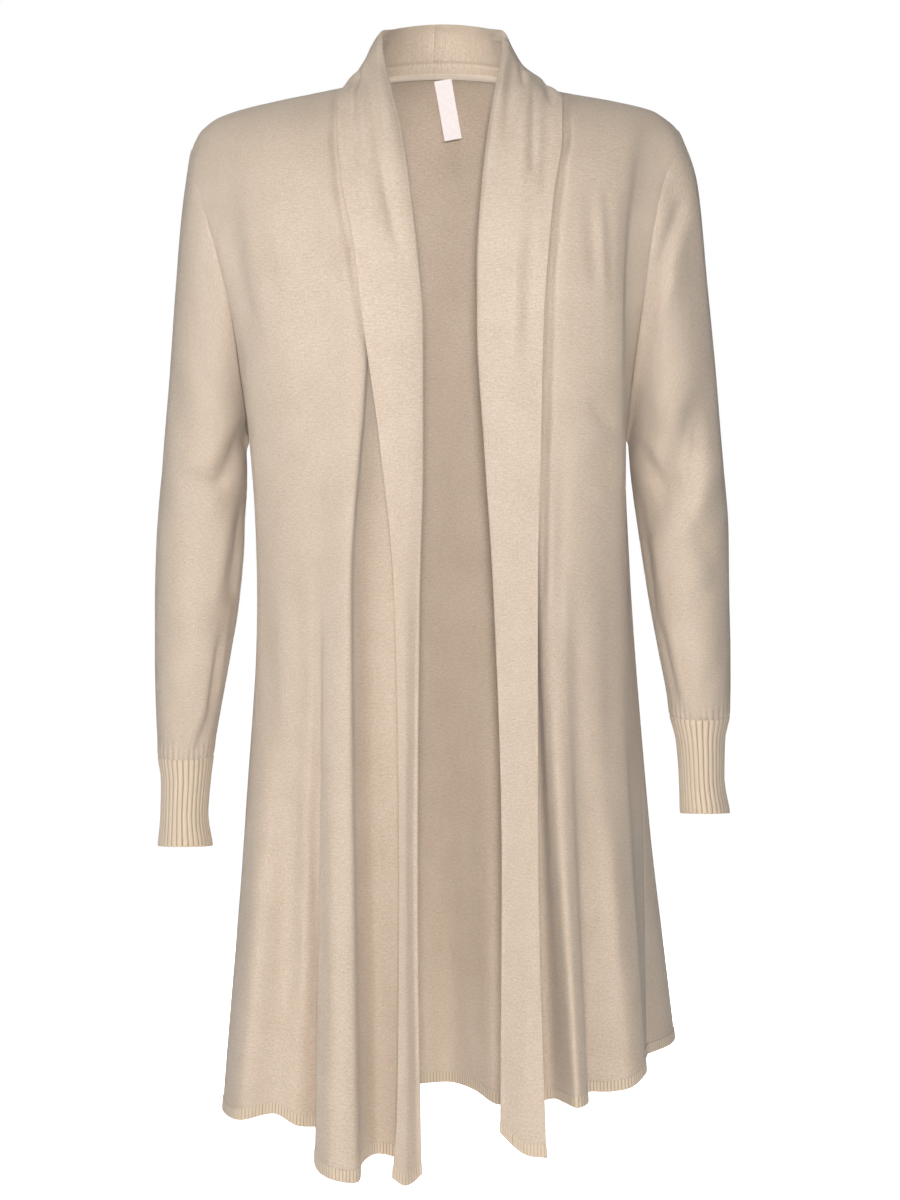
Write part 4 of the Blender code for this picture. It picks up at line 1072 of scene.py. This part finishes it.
def make_rib():
    material, tree, shader = new_material("rib knit")
    place = cloth_place(tree)
    shade = grouped(tree, heather, Place=place, Amount=0.8)["Shade"]
    height = grouped(tree, jersey, Place=place, Wale=0.0012)["Height"]
    ridge = add_node(tree, "ShaderNodeAttribute", attribute_name="ridge").outputs["Fac"]
    # Painted shade: the grooves between the ribs get the darker colour, and the heather adds its random tone
    # on top.
    depth = math_node(tree, "MULTIPLY", ranged(tree, ridge, 0.15, 0.75, 0.0, 1.0),
                      ranged(tree, shade, 0.1, 0.9, 0.75, 1.0))
    fill(tree, shader, {
        "Base Color": mixed(tree, depth, RIB_GROOVE_SHADE_AND_HEATHER, RIB_LIGHT),
        "Roughness": ranged(tree, ridge, 0.0, 1.0, 0.95, 0.82),
        "Normal": bump(tree, height, 0.00022, 0.7), **SOFT_FIBRE})
    return material


def make_thread():
    material, tree, shader = new_material("sewing thread")
    twist = noise(tree, add_node(tree, "ShaderNodeTexCoord").outputs["Object"], 3000.0)
    fill(tree, shader, {"Base Color": mixed(tree, twist, THREAD_DARK, THREAD_LIGHT), "Roughness": 0.6})
    return material


def make_label_cloth():
    material, tree, shader = new_material("woven label")
    place = cloth_place(tree)
    threads = add_node(tree, "ShaderNodeTexWave", {"Vector": place, "Scale": 420.0}, bands_direction="Y")
    soft = noise(tree, place, 260.0)
    fill(tree, shader, {
        "Base Color": mixed(tree, soft, LABEL_DARK, LABEL_LIGHT),
        "Roughness": ranged(tree, soft, 0.2, 0.8, 0.5, 0.38),
        "Normal": bump(tree, threads.outputs["Fac"], 0.00012, 0.5)})
    return material


knit, rib, thread, label_cloth = make_knit(), make_rib(), make_thread(), make_label_cloth()
print("materials:", knit.name, rib.name, thread.name, label_cloth.name)

# %% [markdown]
# ## Body, bands and sleeves
#
# The panels and the bands hang from the shoulders. Their sewn edges are drawn in a little, as a seam
# does, and the wall is the thickness of the fine knit.

KINDS = {"knit": (knit, "knit"), "rib": (rib, "rib"), "ribbon": (label_cloth, "label")}
RIB_AT_SEAM, RIB_RISES_OVER = 0.35, 2.5


def mark_ribs(mesh, cloth):
    """Attributes for the rib tree: the place across the cloth, and 1 on the outer side."""
    rows, columns = cloth.points.shape[:2]
    place = np.tile(cloth.across[:columns], 2 * rows) * MM
    fade = smooth_step(RIB_AT_SEAM + cloth.from_edge("top") / RIB_RISES_OVER).ravel()
    outside = np.concatenate([fade, np.zeros(rows * columns)])
    for name, values in (("place_across", place), ("outside", outside)):
        mesh.attributes.new(name, "FLOAT", "POINT").data.foreach_set("value", values.astype(np.float32))


def make_piece(node, kind, cloth, thick=CLOTH_THICK, held="draped", **ribs):
    """Builds a piece of cloth, raises its ribs, and hides the solid that it stands for."""
    name, (material, slot) = f"{node}_{kind}", KINDS[kind]
    obj = in_scene(name, wall_mesh(name, cloth, thick))
    obj.data.materials.append(material)
    if ribs:
        mark_ribs(obj.data, cloth)
        run_tree(obj, rib_tree, Material=material, **ribs)
        obj.data.shade_smooth()
    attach(obj, "root")
    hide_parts(node)
    print(name, len(obj.data.polygons), "faces")


# %% Fronts and back
panels = (
    ("front_right", right, CREASES_FRONT_RIGHT),
    ("front_left", left, CREASES_FRONT_LEFT),
    ("back", back, CREASES_BACK),
)
sewn = {}
for name, panel, creases in panels:
    columns = across(0, panel.count - 1, COLUMNS_PER_LINE)
    sewn[name] = Cloth(panel, columns, body_rows, panel.outward, creases=creases)
    sewn[name].sink(("top", "first", "last"))
    make_piece(name, "knit", sewn[name])

# %% Shawl bands
BAND_STEPS = across(0, 6, 12)
BAND_SHOWN = np.where(BAND_STEPS > 3, -1.0, 1.0)
COLLAR_LINE_UP, COLLAR_LINE_DEPTH, COLLAR_LINE_WIDTH = 12.0, 1.5, 1.2
neck_rows = np.linspace(-1, 0, 57)[:-1]
shawls = (("band_right", shawl_right, CREASES_BAND_RIGHT), ("band_left", shawl_left, CREASES_BAND_LEFT))
for name, band, creases in shawls:
    rows = np.concatenate([neck_rows, body_rows])
    cloth = Cloth(band, BAND_STEPS, rows, band.outward, creases=creases, shown=BAND_SHOWN)
    cloth.sink(("top", "first"))
    line = np.exp(-(((cloth.from_edge("first") - COLLAR_LINE_UP) / COLLAR_LINE_WIDTH) ** 2))
    at_back = np.arange(len(cloth.points)) < len(neck_rows)
    away = cloth.points - (NECK_X, NECK_Y, 0.0)
    outwards = np.sign(np.sum(away[:, :, :2] * cloth.way[:, :, :2], axis=2))
    cloth.lift(COLLAR_LINE_DEPTH * line * at_back[:, None] * outwards)
    sewn[name] = cloth
    make_piece(name, "knit", cloth)

# %% [markdown]
# ## Sleeves
#
# A sleeve ends gathered into its cuff, so the cloth above the cuff seam stands in fine short pleats
# that fade out within two centimetres.

# %% Sleeves
GATHERS, GATHER_HEIGHT, GATHER_REACH = 30, 0.7, 20.0
GATHER_UNEVEN, GATHER_WAVES = 0.9, 3
PLAIN_ROWS, GATHERED_ROWS, GATHERED_SHARE = 88, 26, 0.8
CUFF_SEAM_SINK, CUFF_SEAM_WIDTH = 0.5, 1.5
ring_angles = np.arange(2 * ARMHOLE_ROWS * ROUND_PER_ROW) * math.pi / (ARMHOLE_ROWS * ROUND_PER_ROW)
sleeves = (
    ("right", SLEEVE_RIGHT, CREASES_RIGHT, CREASES_SLEEVE_RIGHT, -1.0),
    ("left", SLEEVE_LEFT, CREASES_LEFT, CREASES_SLEEVE_LEFT, 1.0),
)
for name, rows, main_creases, creases, side in sleeves:
    tube = Tube(rows, armhole_ring(ARMHOLES["front_" + name], ARMHOLES["back_" + name]), main_creases)
    last, gathered = len(rows) - 1, len(rows) - 1 - GATHERED_SHARE
    plain = np.linspace(0, gathered, PLAIN_ROWS)[:-1]
    places = np.concatenate([plain, np.linspace(gathered, last, GATHERED_ROWS)])
    cloth = Cloth(tube, ring_angles, places, side, closed=True, creases=creases)
    reach = smooth_step(1 - cloth.from_edge("foot") / GATHER_REACH)
    wave = np.cos(GATHERS * ring_angles + GATHER_UNEVEN * np.sin(GATHER_WAVES * ring_angles))
    cloth.lift(GATHER_HEIGHT * reach * wave[None, :])
    cloth.sink(("top",))
    cloth.sink(("foot",), CUFF_SEAM_SINK, CUFF_SEAM_WIDTH)
    make_piece("sleeve_" + name, "knit", cloth)

# %% [markdown]
# ## Cuffs and hems
#
# The cuffs are thick ribs that run along the arm, 36 of them round the wrist. The hem is a narrow band
# of finer rib. Both are plain walls first, and the rib tree then raises the ribs on their outer side.

# %% Cuffs
CUFF_RIBS, CUFF_POINTS_PER_RIB, CUFF_ROWS, CUFF_RIB_HEIGHT = 36, 8, 31, 0.0009
cuff_points = CUFF_RIBS * CUFF_POINTS_PER_RIB
cuff_angles = np.arange(cuff_points) * 2 * math.pi / cuff_points
for name, rows, side in (("cuff_right", CUFF_RIGHT, -1.0), ("cuff_left", CUFF_LEFT, 1.0)):
    tube = Tube(rows, foot_rise=CUFF_FOOT_RISE)
    cloth = Cloth(tube, cuff_angles, np.linspace(0, len(rows) - 1, CUFF_ROWS), side, closed=True)
    make_piece(name, "rib", cloth, Pitch=cloth.across[-1] * MM / CUFF_RIBS, Height=CUFF_RIB_HEIGHT)

# %% Hems
HEM_RIB_PITCH, HEM_RIB_HEIGHT, HEM_EXTRA_THICK = 0.003, 0.0005, 0.5
HEM_COLUMNS_PER_LINE, HEM_BAND_COLUMNS = 60, 30
HEM_SWELL, HEM_SWELL_WIDTH = 0.25, 0.9
hems = (
    ("front_right", right, right.count - 1, HEM_COLUMNS_PER_LINE),
    ("front_left", left, left.count - 1, HEM_COLUMNS_PER_LINE),
    ("back", back, back.count - 1, HEM_COLUMNS_PER_LINE),
    ("band_right", shawl_right, 6, HEM_BAND_COLUMNS),
    ("band_left", shawl_left, 6, HEM_BAND_COLUMNS),
)
for name, surface, last, each in hems:
    cloth = Cloth(surface, across(0, last, each), hem_rows, surface.outward)
    cloth.sink(("top",), -HEM_SWELL, HEM_SWELL_WIDTH)
    make_piece("hem_" + name, "rib", cloth, CLOTH_THICK + HEM_EXTRA_THICK, Pitch=HEM_RIB_PITCH,
               Height=HEM_RIB_HEIGHT)

# %% [markdown]
# ## The label and the neck stitches
#
# The blank label is a soft folded ribbon, sewn in under the collar seam at the back. Thick overlock
# stitches finish the seam itself, because it shows whenever the front hangs open.

# %% Label
LABEL_SIZE, LABEL_TOP = (15.0, 52.0, 0.7), (4.0, 62.2, 9.6)
LABEL_TILT, LABEL_LEAN, LABEL_CURL = math.radians(10.0), math.radians(6.0), 1.2
LABEL_COLUMNS, LABEL_ROWS = 21, 41


class Ribbon:
    def point(self, u, v):
        right_way, up_way = math.cos(LABEL_TILT), math.sin(LABEL_TILT)
        across_way = np.array([right_way, 0, up_way])
        down = np.array([up_way, math.sin(LABEL_LEAN), -right_way * math.cos(LABEL_LEAN)])
        grid = np.array(LABEL_TOP) + v[:, None, None] * down + u[None, :, None] * across_way
        curl = LABEL_CURL * np.sin(v / LABEL_SIZE[1] * math.pi)
        return grid + curl[:, None, None] * np.cross(across_way, down)


label_across = np.linspace(-LABEL_SIZE[0] / 2, LABEL_SIZE[0] / 2, LABEL_COLUMNS)
cloth = Cloth(Ribbon(), label_across, np.linspace(0, LABEL_SIZE[1], LABEL_ROWS), 1.0)
make_piece("label", "ribbon", cloth, LABEL_SIZE[2], held="hung")

# %% Stitches inside the neck
# A stitch is its spacing, length and thickness in metres, and its slant. A line of stitches runs a
# way up from the collar seam, in millimetres.
STITCHED_ROWS_LEFT, SEAM_ROWS = 4, slice(4, -6)
OVERLOCK_UP, CHAINS_UP = 0.6, (-1.6, 2.8)
OVERLOCK_LIES, SEAM_LIES = CLOTH_THICK / 2 + 0.3, CLOTH_THICK / 2 + 0.7
OVERLOCK = (0.0017, 0.0052, 0.0009, math.radians(62))
CHAIN = (0.0024, 0.0023, 0.0008, 0.0)
FINE_CHAIN = (0.0020, 0.0019, 0.0006, 0.0)


def stitch_line(name, points, faces, stitch):
    """A row of stitches along points, lying on a cloth that looks the way of faces."""
    spacing, length, thickness, slant = stitch
    mesh = bpy.data.meshes.new(name)
    mesh.from_pydata((points * MM).tolist(), [(k, k + 1) for k in range(len(points) - 1)], [])
    looks = mesh.attributes.new("face", "FLOAT_VECTOR", "POINT")
    looks.data.foreach_set("vector", faces.astype(np.float32).ravel())
    obj = in_scene(name, mesh)
    run_tree(obj, stitch_tree, Spacing=spacing, Length=length, Thickness=thickness, Slant=slant,
             Material=thread)
    obj.data.shade_smooth()
    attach(obj, "root")
    print(name, len(obj.data.polygons), "faces")


def neck_inwards(points):
    inwards = np.array([NECK_X, NECK_Y, 0.0]) - points
    inwards[:, 2] = 0
    return unit(inwards)


def inside_neck(up):
    """Points round the inside of the collar, a way up from its seam, and the way that the cloth looks."""
    halves = []
    for cloth in (sewn["band_right"], sewn["band_left"]):
        heights = cloth.from_edge("first")
        rows = range(len(neck_rows) - STITCHED_ROWS_LEFT)
        halves.append(np.array([[np.interp(up, heights[row], cloth.points[row, :, k]) for k in range(3)]
                                for row in rows]))
    line = np.concatenate([halves[0][::-1], halves[1][1:]])
    inwards = neck_inwards(line)
    return line + inwards * OVERLOCK_LIES, inwards


stitch_line("neck_overlock", *inside_neck(OVERLOCK_UP), OVERLOCK)
for number, up in enumerate(CHAINS_UP):
    line, inwards = inside_neck(max(up, 0.0))
    line[:, 2] += min(up, 0.0)
    stitch_line(f"neck_chain_{number}", line, inwards, CHAIN)

# %% The seam that joins the collar halves
seam_up = sewn["band_right"].points[0, SEAM_ROWS]
seam_inwards = np.tile(neck_inwards(seam_up[:1]), (len(seam_up), 1))
stitch_line("collar_chain", seam_up + seam_inwards * SEAM_LIES, seam_inwards, FINE_CHAIN)

# %% [markdown]
# ## Floor, light and camera
#
# The cardigan is shown in a bright white studio. A small light beside the camera does most of the work
# and reaches the inside of the back. A soft one from the viewer's left shapes the folds, and two weaker
# ones lift the shoulders and the outside of the back.

# %% Studio
FLOOR_Z, FLOOR_HALF = -1.25, 6.0
FLOOR_GLOW, WORLD_GLOW = 0.06, 0.04
WHITE = (1.0, 1.0, 1.0, 1.0)
LIGHTS = (
    ("key", (-1.8, -1.8, 0.6), (0, 0, -0.3), 0.9, 22.0),
    ("near_camera", (0.03, -3.0, 0.10), (0, 0, -0.35), 0.2, 77.0),
    ("above", (-0.1, -1.3, 1.6), (0, 0, -0.2), 0.8, 11.0),
    ("behind", (0.0, 2.4, -0.3), (0, 0, -0.4), 1.4, 32.0),
)


def aim(obj, place, target):
    away = unit(np.array(place, float) - np.array(target, float))
    side = unit(np.cross((0, 0, 1), away))
    up = np.cross(away, side)
    rows = [[*row, place[k]] for k, row in enumerate(np.stack([side, up, away], 1))]
    obj.matrix_world = Matrix([*rows, [0, 0, 0, 1]])


def white_to_look_at(tree, glow):
    """1 for the camera, and a softer glow for everything else."""
    seen = add_node(tree, "ShaderNodeLightPath").outputs["Is Camera Ray"]
    return ranged(tree, seen, 0.0, 1.0, glow, 1.0)


world = bpy.data.worlds.new("studio")
bpy.context.scene.world = world
world.use_nodes = True
world_tree = world.node_tree
fill(world_tree, world_tree.nodes["Background"], {
    "Strength": white_to_look_at(world_tree, WORLD_GLOW), "Color": WHITE})
for name, place, target, size, power in LIGHTS:
    light = bpy.data.lights.new(name, "AREA")
    light.shape, light.size, light.energy = "DISK", size, power
    aim(in_scene(name, light), place, target)

floor_mesh = bpy.data.meshes.new("floor")
floor_corners = [(x * FLOOR_HALF, y * FLOOR_HALF, FLOOR_Z) for x, y in ((-1, -1), (1, -1), (1, 1), (-1, 1))]
floor_mesh.from_pydata(floor_corners, [], [(0, 1, 2, 3)])
floor_paint, floor_tree, floor_shader = new_material("pale floor")
fill(floor_tree, floor_shader, {
    "Base Color": (0.9, 0.9, 0.9, 1.0), "Roughness": 0.8, "Emission Color": WHITE,
    "Emission Strength": white_to_look_at(floor_tree, FLOOR_GLOW)})
floor_mesh.materials.append(floor_paint)
floor = in_scene("floor", floor_mesh)

# %% Camera
CAMERA_AWAY, CAMERA_TILT = 3.0, math.radians(7.0)
CAMERA_TARGET = (0.0103, 0.0, -0.4343)
camera_data = bpy.data.cameras.new("camera")
camera_data.lens, camera_data.sensor_width = 104.65, 36.0
camera = in_scene("camera", camera_data)
camera_place = (CAMERA_TARGET[0], -CAMERA_AWAY * math.cos(CAMERA_TILT),
                CAMERA_TARGET[2] + CAMERA_AWAY * math.sin(CAMERA_TILT))
aim(camera, camera_place, CAMERA_TARGET)
bpy.context.scene.camera = camera
bpy.context.scene.view_settings.view_transform = "Standard"
